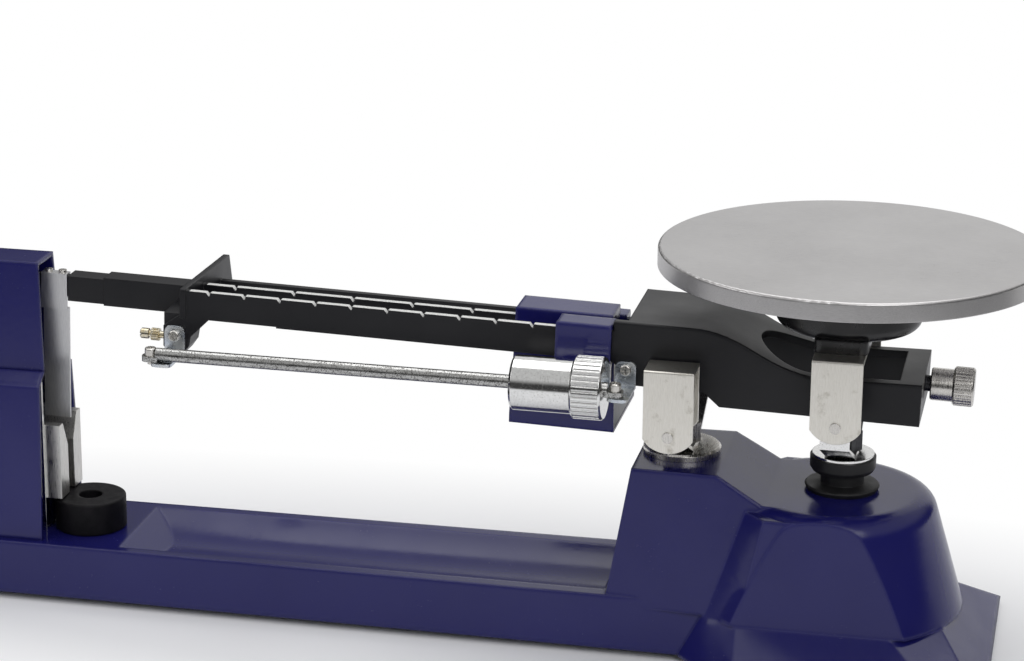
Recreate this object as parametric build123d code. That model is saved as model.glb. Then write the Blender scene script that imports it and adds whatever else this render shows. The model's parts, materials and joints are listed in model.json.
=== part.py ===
from build123d import *
import math
import os

# Triple beam balance with a hanging-arm beam, a flat round pan and a magnetic damper.
# The object's frame: X runs along the length with the pan at -X, Y to the rear, Z up.
# The bottom centre of the whole object is the origin.

# Overall sizes
LENGTH = 500.0
PAN_R = 76.0
PAN_TOP = 167.0
PAN_SHEET = 1.0
PAN_RIM = 7.6
PAN_EDGE_R = 1.1
SHIFT = PAN_R - LENGTH / 2

# Main knife and the arm between the two knives
ARM = 65.0
KNIFE_H = 117.0
REST_TILT = 1.6
PAN_KNIFE_X = ARM - ARM * math.cos(math.radians(REST_TILT))
PAN_KNIFE_H = KNIFE_H - ARM * math.sin(math.radians(REST_TILT))
KNIFE_W = 5.0
KNIFE_TALL = 5.2
KNIFE_FLANK = 2.6
KNIFE_HALF = 36.5
VEE_GAP = 0.12
FIT_GAP = 0.05
SEAT_GAP = 0.3
RUN_GAP = 0.1

# Base casting
BASE_LOW = 3.0
BASE_WALL = 3.0
SPINE_TOP = 25.0
SPINE_HALF_FAR = 28.0
SPINE_HALF_NEAR = 31.4
SPINE_DRAFT = 2.2
SPINE_NEAR_X = 50.0
BASE_END = LENGTH - PAN_R
END_R = 9.0
TROUGH_HALF = 24.6
TROUGH_DEEP = 8.0
TROUGH_START = 92.0
TROUGH_END = 298.0
TROUGH_SLOPE = 16.0
PLATEAU_H = 78.3
SADDLE_H = 67.5
TOWER_FOOT_X = 90.9
TOWER_FOOT_HALF = 30.1
TOWER_TOP_X = 81.4
TOWER_TOP_HALF = 27.0
PLATEAU_END_X = 46.7
SADDLE_X = 28.4
FACET_FOOT = (49.7, 33.9)
FACET_TOP = (36.0, 28.6)
CHEEK_FOOT = (35.9, 41.8)
CHEEK_TOP = (26.6, 38.8)
DOME_X = 4.0
DOME_FOOT_R = 54.5
DOME_TOP_R = 40.4
DOME_EDGE_R = 9.0
FLARE_TOP = 21.0
FLARE_FOOT = [(60.0, 34.5), (34.2, 66.0), (-50.0, 66.0), (-63.5, 59.0)]
FLARE_HEAD = [(50.5, 33.5), (36.0, 42.0), (-24.5, 42.0), (-44.0, 27.0)]
FOOT_R = 7.0
FOOT_SPIGOT_R = 3.0
FOOT_SPIGOT = 5.0
FOOT_FROM_END = 20.0
FOOT_SPOTS = [(18.0, 47.0), (-34.0, 47.0), (BASE_END - FOOT_FROM_END, 17.0)]

# Bearing caps, yokes and washers
CAP_W = 19.8
CAP_OUT = 41.0
CAP_IN = 26.2
CAP_SHEET = 1.0
CAP_TALL = 33.4
CAP_BOTTOM_SAG = 5.4
MAIN_CAP_RISE = 7.0
PAN_CAP_RISE = 17.8
STRAP_W = 11.5
STRAP_T = 1.4
STRAP_FLAT = 8.5
LEG_IN = CAP_OUT - CAP_SHEET - STRAP_T
AGATE_W = 9.0
AGATE_TALL = 7.0
AGATE_DEEP = 8.5
AGATE_VEE = 2.2
RIVET_R = 1.7
RIVET_FROM_LOW = 6.6
MAIN_WASHER_R = 15.75
MAIN_WASHER_T = 3.0
BOLT_R = 3.0
NUT_R = 6.4
NUT_TALL = 8.0
PAN_WASHER_R = 12.4
PAN_WASHER_T = 1.2

# Rubber stop round the stem and the stem below the pan
STOP_TALL = 14.1
STOP_TOP = SADDLE_H + STOP_TALL
STOP_RING_R = 13.2
STOP_RING_T = 6.0
STOP_NECK_R = 8.7
STOP_FLANGE_R = 15.0
STOP_FLANGE_T = 2.4
STOP_PLUG = 3.6
STOP_BORE_R = 4.4
STEM_R = 3.0
STEM_END_H = 24.0
LINK_H = 30.0
LINK_T = 4.0
LINK_W = 9.0
LINK_PIN_R = 2.0
LINK_SHAFT_R = 2.5

# Pan support
BRIDGE_T = 1.5
BRIDGE_NECK_L = 62.0
BRIDGE_NECK_W = 21.0
HUB_R = 28.9
HUB_LOW = 136.2
HUB_ROUND = 4.5
HUB_WALL = 4.0

# Beam casting, measured from the main knife: along the beam and above the knife
WALL_OUT = 24.7
WALL_T = 3.0
ARCH_FRONT_U = 25.3
ARCH_PLATE_U = 20.0
ARCH_TOP = 20.5
ARCH_PLATE_T = 3.0
ARCH_END_U = -96.3
ARCH_TAIL_TOP = 5.0
ARCH_TAIL_LOW = -10.6
ARCH_END_TOP = 6.2
ARCH_MID_LOW = -5.2
ARCH_END_WALL = 9.0
OPENING_START_U = -30.3
OPENING_HALF = 19.5
BAR_T = 3.0
BAR_TOPS = [16.1, 12.3, 7.5]
BAR_LOWS = [3.9, 1.5, -3.5]
BAR_SIDES = [WALL_OUT - BAR_T / 2, 0.0, -WALL_OUT + BAR_T / 2]
BAR_STEP_U = 163.0
BAR_STEP = 0.6
PLATE_U = 201.0
PLATE_T = 2.4
PLATE_TOP = 16.9
PLATE_FAR = -34.5
PLATE_NEAR = 25.4
TIP_BAR_HALF = 5.0
TIP_BAR_TOP = 12.0
TIP_STEP_U = 243.0
TIP_END_U = 258.8
TIP_STEP = 0.8
TONGUE_T = 3.0
TONGUE_END_U = 276.0
LUG_U = 199.6
LUG_RUN = 8.6
LUG_END_U = 210.5
LUG_IN = 12.0
LUG_LOW = -11.0

# Notches
NOTCH_DEEP = 1.6
NOTCH_OPEN = 1.5
STEP_500 = 25.0
ZERO_500 = 62.0
COUNT_500 = 6
STEP_100 = 14.83
ZERO_100 = 42.8
COUNT_100 = 11
TRAVEL_10 = 149.0

# Poises
BAR_GAP = 0.8
TOP_GAP = 0.25
P500_U = (25.4, 66.0)
P500_HEAD_U = (29.0, 68.8)
P500_HEAD_Y = (-12.5, 5.2)
P500_TOP = 16.6
P500_BODY_Y = (-30.0, 20.0)
P500_LOW = -27.6
P500_SHELL = 1.3
P500_FLARE = 1.1
P500_BEVEL = 4.2
P100_U = (25.8, 48.0)
P100_Y = (15.7, 28.0)
P100_TOP = 19.1
P100_LOW = -5.0
P100_STEP_Y = 20.6
P100_RELIEF_U = 41.6
P100_RELIEF_RISE = 2.6
P10_U = (27.2, 41.2)
P10_Y = (-28.4, -18.2)
P10_TOP = 10.2
P10_LOW = -4.1
BODY_GAP = 0.6

# Tare rod and its poise
ROD_R = 2.7
ROD_Y = 41.2
ROD_START = (17.6, -2.0)
ROD_END = (213.8, -6.6)
ROD_TAB = 7.0
TARE_R = 10.9
TARE_LEN = 24.2
TARE_RING_R = 12.5
TARE_RING_LEN = 12.6
TARE_START_U = 24.8
BRACKET_W = 8.4
BRACKET_T = 1.3
FOOT_GAP = 0.12
RIGHT_BRACKET_U = 19.6
LEFT_BRACKET_U = 205.4
SCREW_R = 1.25
SCREW_HEAD_R = 2.4
SCREW_HEAD_T = 1.5
ROD_SCREW_HEAD_T = 3.2

# Trim screw, zero knob
TRIM_W = -5.4
TRIM_Y = 19.0
TRIM_R = 1.5
TRIM_NUT_R = 2.6
TRIM_NUT_T = 3.4
TRIM_HEAD_R = 2.2
TRIM_HEAD_T = 3.8
TRIM_REACH = 7.6
KNOB_STUD_R = 3.2
KNOB_W = -0.3
KNOB_BARREL_R = 6.5
KNOB_BARREL_L = 8.8
KNOB_GRIP_R = 7.8
KNOB_GRIP_L = 8.3
KNOB_GAP = 2.0

# Damper vane, pointer and housing
VANE_T = 0.8
VANE_U = (260.0, 271.4)
VANE_Y = 2.0
VANE_JOG_W = -3.4
VANE_END_W = -51.9
VANE_JOG = 0.9
POINTER_END_U = 347.5
POINTER_T = 1.2
POINTER_W = (3.8, 9.2)
POINTER_TIP_TALL = 1.6
HOUSE_LOW_X = (331.6, 411.0)
HOUSE_HIGH_X = (332.2, 409.6)
HOUSE_LOW_HALF = 25.2
HOUSE_HIGH_HALF = 19.8
HOUSE_SHOULDER = 91.0
HOUSE_TOP = 95.4
HOUSE_TOP_HALF = 12.4
HOUSE_TOP_END = 405.6
HOUSE_WALL = 2.0
COVER_LOW_HALF = 11.6
COVER_TOP = 141.6
COVER_TOP_HALF = 9.3
COVER_LOW_X = (333.0, 404.8)
COVER_TOP_X = (334.7, 402.6)
COVER_WALL = 1.6
SLOT_Y = (-4.8, 1.0)
SLOT_H = (107.5, 137.5)
SCALE_T = 0.8
SCALE_W = 4.2
DAMPER_X = (333.4, 349.0)
DAMPER_IN = 12.4
DAMPER_T = 1.5
DAMPER_TOP = 91.0
MAGNET_X = (326.6, 344.0)
MAGNET_H = (39.5, 72.0)
MAGNET_GAP = 3.4
MAGNET_LEAD = 5.0

# Attachment weight
WEIGHT_X = 317.8
WEIGHT_Y = 2.0
WEIGHT_R = 15.0
WEIGHT_T = 13.8
WEIGHT_BORE_R = 5.0


def made(name, *pieces):
    """Moves the pieces into the object's frame and writes them as one node."""
    solids = []
    for piece in pieces:
        solids.extend((Pos(SHIFT, 0, 0) * piece).solids())
    shape = solids[0] if len(solids) == 1 else Compound(children=solids)
    export_step(shape, os.path.join("parts", name + ".step"))


def on_beam(shape):
    """Turns a shape drawn level about the main knife into its resting tilt."""
    return Pos(ARM, 0, KNIFE_H) * Rot(0, -REST_TILT, 0) * shape


def on_pan_knife(shape):
    return Pos(PAN_KNIFE_X, 0, PAN_KNIFE_H) * shape


def block(x0, x1, y0, y1, z0, z1):
    return Pos((x0 + x1) / 2, (y0 + y1) / 2, (z0 + z1) / 2) * Box(x1 - x0, y1 - y0, z1 - z0)


def rod_x(radius, x0, x1, y=0.0, z=0.0):
    return Pos((x0 + x1) / 2, y, z) * Rot(0, 90, 0) * Cylinder(radius, x1 - x0)


def rod_y(radius, y0, y1, x=0.0, z=0.0):
    return Pos(x, (y0 + y1) / 2, z) * Rot(90, 0, 0) * Cylinder(radius, y1 - y0)


def rod_z(radius, z0, z1, x=0.0, y=0.0):
    return Pos(x, y, (z0 + z1) / 2) * Cylinder(radius, z1 - z0)


def side_plate(points, y0, y1):
    """Pulls an outline of (x, z) points across from y0 to y1."""
    face = make_face(Polyline([Vector(x, 0, z) for x, z in points], close=True))
    return Pos(0, y0, 0) * extrude(face, amount=y1 - y0, dir=(0, 1, 0))


def end_plate(points, x0, x1):
    """Pulls an outline of (y, z) points along from x0 to x1."""
    face = make_face(Polyline([Vector(0, y, z) for y, z in points], close=True))
    return Pos(x0, 0, 0) * extrude(face, amount=x1 - x0, dir=(1, 0, 0))


def level_face(points, z):
    return make_face(Polyline([Vector(x, y, z) for x, y in points], close=True))


def mirrored(points):
    """Adds the front half of an outline whose rear half is given."""
    return points + [(x, -y) for x, y in reversed(points)]


def tapered(low, z0, high, z1, inset=0.0):
    """Lofts one level outline into another, both drawn in by the inset."""
    faces = [level_face(low, z0), level_face(high, z1)]
    if inset:
        faces = [offset(face, amount=-inset, kind=Kind.INTERSECTION) for face in faces]
    return loft(faces, ruled=True)


# Base casting


def spine_form(inset):
    far_low = SPINE_HALF_FAR + SPINE_DRAFT
    near_low = SPINE_HALF_NEAR + SPINE_DRAFT
    low = mirrored([(BASE_END, far_low), (SPINE_NEAR_X, near_low)])
    high = mirrored([(BASE_END - SPINE_DRAFT, SPINE_HALF_FAR), (SPINE_NEAR_X, SPINE_HALF_NEAR)])
    form = tapered(low, BASE_LOW, high, SPINE_TOP - inset, inset)
    middle = (SPINE_NEAR_X + BASE_END) / 2
    corners = [e for e in form.edges() if abs(e.tangent_at(0.5).Z) > 0.8 and e.center().X > middle]
    return fillet(corners, END_R - inset)


def tower_form(inset):
    foot = mirrored([(TOWER_FOOT_X, TOWER_FOOT_HALF), FACET_FOOT, (0.0, FACET_FOOT[1])])
    head = mirrored([(TOWER_TOP_X, TOWER_TOP_HALF), (FACET_TOP[0], TOWER_TOP_HALF + 1.4),
                     (0.0, TOWER_TOP_HALF + 1.4)])
    form = tapered(foot, FLARE_TOP - 2 * inset, head, PLATEAU_H - inset, inset)
    top = PLATEAU_H - inset
    saddle = SADDLE_H - inset
    shift = inset * 0.3
    over = [(PLATEAU_END_X - shift, top), (SADDLE_X - shift, saddle), (-20.0, saddle),
            (-20.0, top + 9), (PLATEAU_END_X - shift, top + 9)]
    return form - side_plate(over, -60, 60)


def cheek_form(inset):
    foot = mirrored([FACET_FOOT, CHEEK_FOOT, (DOME_X, CHEEK_FOOT[1])])
    head = mirrored([FACET_TOP, CHEEK_TOP, (DOME_X, CHEEK_TOP[1])])
    return tapered(foot, FLARE_TOP - 2 * inset, head, SADDLE_H - 2.5 - inset, inset)


def dome_form(inset):
    low = FLARE_TOP - inset
    height = SADDLE_H - inset - low
    cone = Cone(DOME_FOOT_R - inset, DOME_TOP_R - inset, height)
    cone = Pos(DOME_X, 0, low + height / 2) * cone
    rim = cone.edges().sort_by(Axis.Z)[-1]
    cone = fillet(rim, DOME_EDGE_R - inset)
    foot_half = CHEEK_FOOT[1] - inset + 0.4
    head_half = CHEEK_TOP[1] - inset
    trim = [(-foot_half, low), (foot_half, low), (head_half, SADDLE_H), (-head_half, SADDLE_H)]
    return cone & end_plate(trim, DOME_X - 80, DOME_X + 80)


def flare_form(inset):
    return tapered(mirrored(FLARE_FOOT), BASE_LOW, mirrored(FLARE_HEAD), FLARE_TOP - inset, inset)


def trough_cut():
    radius = (TROUGH_HALF ** 2 + TROUGH_DEEP ** 2) / (2 * TROUGH_DEEP)
    axis_z = SPINE_TOP - TROUGH_DEEP + radius
    bed = rod_x(radius, TROUGH_START, TROUGH_END, 0, axis_z)
    lid = [(TROUGH_START, SPINE_TOP - TROUGH_DEEP - 1),
           (TROUGH_END - TROUGH_SLOPE, SPINE_TOP - TROUGH_DEEP - 1),
           (TROUGH_END, SPINE_TOP + 0.4), (TROUGH_START, SPINE_TOP + 0.4)]
    return bed & side_plate(lid, -TROUGH_HALF - 5, TROUGH_HALF + 5)


def trough_skin():
    """The underside of the trough, so that the wall keeps its thickness below it."""
    radius = (TROUGH_HALF ** 2 + TROUGH_DEEP ** 2) / (2 * TROUGH_DEEP)
    axis_z = SPINE_TOP - TROUGH_DEEP + radius
    bed = rod_x(radius + BASE_WALL, TROUGH_START - BASE_WALL, TROUGH_END, 0, axis_z)
    return bed & block(TROUGH_START - BASE_WALL, TROUGH_END, -40, 40, BASE_LOW, SPINE_TOP - 1)


def foot_bosses():
    return [rod_z(FOOT_R + 0.5, BASE_LOW, FLARE_TOP - 4 if x < 100 else SPINE_TOP - 1, x, side * y)
            for x, y in FOOT_SPOTS for side in (1, -1)]


def base_casting():
    outside = spine_form(0) + tower_form(0) + cheek_form(0) + dome_form(0) + flare_form(0)
    inside = (spine_form(BASE_WALL) + tower_form(BASE_WALL) + cheek_form(BASE_WALL)
              + dome_form(BASE_WALL) + flare_form(BASE_WALL))
    shell = outside - trough_cut() - (inside - trough_skin())
    for boss in foot_bosses():
        shell += boss & outside
    for x, y in FOOT_SPOTS:
        for side in (1, -1):
            shell -= rod_z(FOOT_SPIGOT_R, BASE_LOW, BASE_LOW + FOOT_SPIGOT, x, side * y)
    for side in (1, -1):
        inner = side * (TOWER_FOOT_HALF - BASE_WALL - 1.5)
        outer = side * (TOWER_FOOT_HALF + 1.0)
        boss = rod_y(LINK_SHAFT_R + 3.0, min(inner, outer), max(inner, outer), ARM, LINK_H)
        shell += boss & outside
    shell -= rod_y(LINK_SHAFT_R, -TOWER_FOOT_HALF + 0.6, TOWER_FOOT_HALF - 0.6, ARM, LINK_H)
    shell -= rod_z(STOP_NECK_R, SADDLE_H - BASE_WALL - 2, SADDLE_H + 1, PAN_KNIFE_X, 0)
    shell -= rod_z(BOLT_R, PLATEAU_H - BASE_WALL - 2, PLATEAU_H + 1, ARM, 0)
    return shell


def rubber_feet():
    feet = []
    for x, y in FOOT_SPOTS:
        for side in (1, -1):
            pad = rod_z(FOOT_R, 0, BASE_LOW, x, side * y)
            pad = chamfer(pad.edges().sort_by(Axis.Z)[0], 0.8)
            spigot = rod_z(FOOT_SPIGOT_R, BASE_LOW, BASE_LOW + FOOT_SPIGOT, x, side * y)
            feet.append(pad + spigot)
    return feet


# Bearings


def round_ended(width, y0, y1, top, low, sag):
    """A plate in the XZ plane with a straight top and a bowed lower edge."""
    half = width / 2
    left = Vector(-half, 0, low + sag)
    right = Vector(half, 0, low + sag)
    rim = [Line((-half, 0, top), (half, 0, top)), Line((half, 0, top), right),
           ThreePointArc(right, (0, 0, low), left), Line(left, (-half, 0, top))]
    return Pos(0, y0, 0) * extrude(make_face(rim), amount=y1 - y0, dir=(0, 1, 0))


def bearing_cap(side, rise):
    """Folded nickel cap that hangs over one end of a knife."""
    low = rise - CAP_TALL
    outer = round_ended(CAP_W, CAP_OUT - CAP_SHEET, CAP_OUT, rise, low, CAP_BOTTOM_SAG)
    inner = round_ended(CAP_W, CAP_IN, CAP_IN + CAP_SHEET, rise, low + 4, CAP_BOTTOM_SAG)
    slot = block(-KNIFE_W, KNIFE_W, CAP_IN - 1, CAP_IN + CAP_SHEET + 1, low - 1, KNIFE_TALL + 1)
    roof = block(-CAP_W / 2, CAP_W / 2, CAP_IN, CAP_OUT, rise - CAP_SHEET, rise)
    cap = outer + roof + (inner - slot)
    fold = [e for e in cap.edges()
            if abs(e.center().Z - rise) < 0.01 and abs(e.center().Y - CAP_OUT) < 0.01]
    cap = fillet(fold, 0.8)
    cap -= rod_y(RIVET_R, CAP_OUT - 3, CAP_OUT + 1, 0, low + RIVET_FROM_LOW)
    return cap if side > 0 else mirror(cap, Plane.XZ)


def yoke(flat_low, leg_top, rivet_w, hole_r):
    """Chrome strap bent into a wide U whose legs stand inside the caps."""
    knee_y = LEG_IN
    knee_z = flat_low + 14.0
    outside = [(-knee_y - STRAP_T, leg_top), (-knee_y - STRAP_T, knee_z),
               (-STRAP_FLAT - 0.6, flat_low), (STRAP_FLAT + 0.6, flat_low),
               (knee_y + STRAP_T, knee_z), (knee_y + STRAP_T, leg_top),
               (knee_y, leg_top), (knee_y, knee_z + 0.6),
               (STRAP_FLAT, flat_low + STRAP_T), (-STRAP_FLAT, flat_low + STRAP_T),
               (-knee_y, knee_z + 0.6), (-knee_y, leg_top)]
    strap = end_plate(outside, -STRAP_W / 2, STRAP_W / 2)
    bends = [e for e in strap.edges().filter_by(Axis.X) if abs(e.center().Z - flat_low) < 0.1]
    strap = fillet(bends, 3.0)
    strap -= rod_y(RIVET_R, -60, 60, 0, rivet_w)
    return strap - rod_z(hole_r, flat_low - 1, flat_low + STRAP_T + 1)


def agate(side, up):
    """Bearing block with a vee that faces up under a knife, or down over one."""
    y0 = LEG_IN - AGATE_DEEP
    deep = AGATE_VEE
    body = block(-AGATE_W / 2, AGATE_W / 2, y0, LEG_IN, -AGATE_TALL - VEE_GAP, deep - VEE_GAP)
    vee = side_plate([(0, 0), (-deep * 1.6, deep), (-deep * 1.6, deep + 1), (deep * 1.6, deep + 1),
                      (deep * 1.6, deep)], y0 - 1, LEG_IN + 1)
    body -= Pos(0, 0, -VEE_GAP) * vee
    if not up:
        body = mirror(body, Plane.XY)
    return body if side > 0 else mirror(body, Plane.XZ)


def knife(up):
    """Steel bar whose sharp edge lies on the turning axis."""
    half = KNIFE_W / 2
    outline = [(0, 0), (half, KNIFE_FLANK), (half, KNIFE_TALL), (-half, KNIFE_TALL),
               (-half, KNIFE_FLANK)]
    bar = side_plate(outline, -KNIFE_HALF, KNIFE_HALF)
    return mirror(bar, Plane.XY) if up else bar


def rivets(rise):
    low = rise - CAP_TALL
    pins = []
    for side in (1, -1):
        shank = rod_y(RIVET_R, LEG_IN, CAP_OUT, 0, low + RIVET_FROM_LOW)
        head = rod_y(RIVET_R + 0.5, CAP_OUT, CAP_OUT + 0.5, 0, low + RIVET_FROM_LOW)
        pin = shank + head
        pins.append(pin if side > 0 else mirror(pin, Plane.XZ))
    return pins


def main_washer():
    ring = rod_z(MAIN_WASHER_R, PLATEAU_H, PLATEAU_H + MAIN_WASHER_T, ARM, 0)
    ring = chamfer(ring.edges().sort_by(Axis.Z)[-1], 0.8)
    return ring - rod_z(BOLT_R, PLATEAU_H - 1, PLATEAU_H + MAIN_WASHER_T + 1, ARM, 0)


MAIN_YOKE_LOW = PLATEAU_H + MAIN_WASHER_T - KNIFE_H
PAN_YOKE_LOW = STOP_TOP + PAN_WASHER_T - PAN_KNIFE_H


def bolt_and_nut(low, seat, tail):
    """Threaded rod with a hexagon nut that clamps a yoke on its seat."""
    shank = rod_z(BOLT_R, low, seat + NUT_TALL + tail)
    hexagon = extrude(RegularPolygon(NUT_R, 6, major_radius=False), amount=NUT_TALL)
    return shank + Pos(0, 0, seat) * hexagon


def main_yoke_bolt():
    seat = MAIN_YOKE_LOW + STRAP_T
    bolt = bolt_and_nut(PLATEAU_H - BASE_WALL - KNIFE_H, seat, 2.0)
    head_low = PLATEAU_H - BASE_WALL - KNIFE_H - 4.0
    head = Pos(0, 0, head_low) * extrude(RegularPolygon(NUT_R, 6, major_radius=False), amount=4.0)
    return Pos(ARM, 0, KNIFE_H) * (bolt + head)


def main_yoke():
    rivet_w = MAIN_CAP_RISE - CAP_TALL + RIVET_FROM_LOW
    strap = yoke(MAIN_YOKE_LOW, AGATE_VEE + 2.5, rivet_w, BOLT_R)
    return Pos(ARM, 0, KNIFE_H) * strap


def at_main(shape):
    return Pos(ARM, 0, KNIFE_H) * shape


# Pan carrier


def carrier_frame():
    """Sheet folded over the beam, with a bowed plate on each side."""
    rise = PAN_CAP_RISE
    low = rise - CAP_TALL
    half = CAP_W / 2
    side = round_ended(CAP_W, CAP_OUT - CAP_SHEET, CAP_OUT, rise, low, CAP_BOTTOM_SAG)
    frame = side + mirror(side, Plane.XZ)
    frame += block(-half, half, -CAP_OUT, CAP_OUT, rise - BRIDGE_T, rise)
    fold = [e for e in frame.edges()
            if abs(e.center().Z - rise) < 0.01 and abs(abs(e.center().Y) - CAP_OUT) < 0.01]
    frame = fillet(fold, 0.8)
    return frame - rod_y(RIVET_R, -60, 60, 0, low + RIVET_FROM_LOW)


def pan_yoke():
    rivet_w = PAN_CAP_RISE - CAP_TALL + RIVET_FROM_LOW
    return yoke(PAN_YOKE_LOW, 6.0, rivet_w, STEM_R)


def carrier_stem():
    """Rod from the yoke down through the stop to the check link, with its nut."""
    seat = PAN_YOKE_LOW + STRAP_T
    low = STEM_END_H - PAN_KNIFE_H
    stem = bolt_and_nut(low, seat, 2.0)
    fork = block(-4.2, 4.2, -3.0, 3.0, low, low + 13.0)
    fork += stem
    return fork - rod_y(LINK_PIN_R, -5, 5, 0, LINK_H - REST_LINK_DROP - PAN_KNIFE_H)


REST_LINK_DROP = ARM * math.sin(math.radians(REST_TILT))


def stem_pin():
    """Cross pin that joins the stem to the fork of the check link."""
    return rod_y(LINK_PIN_R, -LINK_W, LINK_W, 0, LINK_H - REST_LINK_DROP - PAN_KNIFE_H)


def check_link():
    """Level link under the beam that keeps the pan upright, drawn about its fixed shaft."""
    half = LINK_T / 2
    hub_r = LINK_SHAFT_R + 3.0
    eye_r = LINK_PIN_R + 2.5
    gap = 3.0 + BODY_GAP
    link = rod_y(hub_r, -gap - LINK_T, gap + LINK_T)
    for side in (1, -1):
        y0 = gap if side > 0 else -gap - LINK_T
        arm = block(-ARM, 0, y0, y0 + LINK_T, -half, half)
        link += arm + rod_y(eye_r, y0, y0 + LINK_T, -ARM, 0)
    link -= rod_y(LINK_SHAFT_R + RUN_GAP, -30, 30)
    return link - rod_y(LINK_PIN_R + RUN_GAP, -30, 30, -ARM, 0)


def carrier_washer():
    low = STOP_TOP - PAN_KNIFE_H
    ring = rod_z(PAN_WASHER_R, low, low + PAN_WASHER_T)
    return ring - rod_z(STEM_R, low - 1, low + PAN_WASHER_T + 1)


def rubber_stop():
    """Grooved rubber bush in the top of the casting, on which the pan side rests."""
    neck_low = SADDLE_H + STOP_FLANGE_T
    ring_low = STOP_TOP - STOP_RING_T
    outline = [(STOP_BORE_R, SADDLE_H - STOP_PLUG), (STOP_NECK_R, SADDLE_H - STOP_PLUG),
               (STOP_NECK_R, SADDLE_H), (STOP_FLANGE_R - 0.8, SADDLE_H),
               (STOP_FLANGE_R, neck_low - 0.6), (STOP_FLANGE_R - 0.6, neck_low),
               (STOP_NECK_R, neck_low + 0.7), (STOP_NECK_R, ring_low - 1.2),
               (STOP_RING_R - 1.0, ring_low), (STOP_RING_R, ring_low + 1.6),
               (STOP_RING_R, STOP_TOP), (STOP_BORE_R, STOP_TOP)]
    face = make_face(Polyline([Vector(r, 0, z) for r, z in outline], close=True))
    return Pos(PAN_KNIFE_X, 0, 0) * revolve(face, Axis.Z)


def pan_hub():
    """Moulded seat with a round bowl on a waisted block."""
    low = PAN_KNIFE_H + PAN_CAP_RISE
    top = PAN_TOP - PAN_SHEET
    bowl = rod_z(HUB_R, HUB_LOW, top)
    bowl = fillet(bowl.edges().sort_by(Axis.Z)[0], HUB_ROUND)
    pocket = rod_z(HUB_R - HUB_WALL, HUB_LOW + HUB_WALL + 4, top + 1)
    posts = rod_z(7.0, HUB_LOW + 1, top)
    neck = Pos(0, 0, (low + HUB_LOW + 2) / 2) * Box(BRIDGE_NECK_W, BRIDGE_NECK_L, HUB_LOW + 2 - low)
    neck = fillet(neck.edges().filter_by(Axis.Z), 3.0)
    reach = rod_z(HUB_R + 3.0, low, HUB_LOW + 2)
    hub = (bowl - pocket) + posts + (neck & reach)
    return Pos(PAN_KNIFE_X, 0, 0) * hub


def pan():
    """Pressed round pan with a turned-down rim and a shallow locating ring below."""
    top = PAN_TOP
    under = top - PAN_SHEET
    inner = PAN_R - PAN_SHEET
    outline = [(0, under), (inner, under), (inner, top - PAN_RIM), (PAN_R, top - PAN_RIM),
               (PAN_R, top), (0, top)]
    face = make_face(Polyline([Vector(r, 0, z) for r, z in outline], close=True))
    disc = revolve(face, Axis.Z)
    rim = [e for e in disc.edges() if abs(e.center().Z - top) < 0.01 and e.radius > PAN_R - 0.1]
    disc = fillet(rim, PAN_EDGE_R)
    ring = rod_z(HUB_R + SEAT_GAP + 1.2, under - 2.0, under) - rod_z(HUB_R + SEAT_GAP, under - 3, under)
    return disc + ring


# Beam, drawn level about the main knife


def arch_outline():
    """Side view of the arch: a level top, a falling S and a low tail."""
    top = Line((ARCH_FRONT_U, 0, ARCH_TOP), (-5.5, 0, ARCH_TOP))
    fall = Spline((-5.5, 0, ARCH_TOP), (-34.0, 0, 11.6), (-60.0, 0, ARCH_TAIL_TOP),
                  tangents=[(-1, 0, 0), (-1, 0, 0)])
    return top, fall


def arch_side():
    top, fall = arch_outline()
    rest = Polyline((-60.0, 0, ARCH_TAIL_TOP), (ARCH_END_U, 0, ARCH_END_TOP),
                    (ARCH_END_U, 0, ARCH_TAIL_LOW), (-18.0, 0, ARCH_TAIL_LOW),
                    (-11.5, 0, ARCH_MID_LOW), (15.8, 0, ARCH_MID_LOW),
                    (ARCH_FRONT_U, 0, BAR_LOWS[0]), (ARCH_FRONT_U, 0, ARCH_TOP))
    return make_face([top, fall, rest])


def arch():
    solid = Pos(0, -WALL_OUT, 0) * extrude(arch_side(), amount=2 * WALL_OUT, dir=(0, 1, 0))
    rims = [e for e in solid.edges() if abs(abs(e.center().Y) - WALL_OUT) < 0.01
            and e.center().Z > ARCH_TAIL_TOP - 0.5 and abs(e.tangent_at(0.5).X) > 0.5]
    solid = fillet(rims, 1.0)
    hollow_half = WALL_OUT - WALL_T
    hollow = arch_side()
    hollow = Pos(0, -hollow_half, -ARCH_PLATE_T) * extrude(hollow, amount=2 * hollow_half, dir=(0, 1, 0))
    hollow &= block(ARCH_END_U + ARCH_END_WALL, 60, -40, 40, -40, 40)
    under = block(ARCH_END_U + ARCH_END_WALL, 60, -hollow_half, hollow_half, -40, ARCH_MID_LOW)
    solid -= hollow + under
    solid -= block(ARCH_PLATE_U, 60, -hollow_half, hollow_half, -40, 40)
    solid -= block(ARCH_PLATE_U, 60, -40, hollow_half, BAR_TOPS[2], 40)
    opening = rod_z(OPENING_HALF, -20, 40, OPENING_START_U - OPENING_HALF, 0)
    opening += block(ARCH_END_U + ARCH_END_WALL, OPENING_START_U - OPENING_HALF,
                     -OPENING_HALF, OPENING_HALF, -20, 40)
    solid -= opening
    solid += block(ARCH_PLATE_U - 2.6, ARCH_PLATE_U, -hollow_half - 1, hollow_half + 1, 0.5, ARCH_TOP - 1)
    return solid


def notch(u, top, side):
    """Tooth gap with one upright flank and one sloping flank."""
    cut = [(u - 0.3, top + 1), (u - 0.3, top - NOTCH_DEEP), (u + 0.1, top - NOTCH_DEEP),
           (u + NOTCH_OPEN, top), (u + NOTCH_OPEN, top + 1)]
    return side_plate(cut, side - BAR_T, side + BAR_T)


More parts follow.
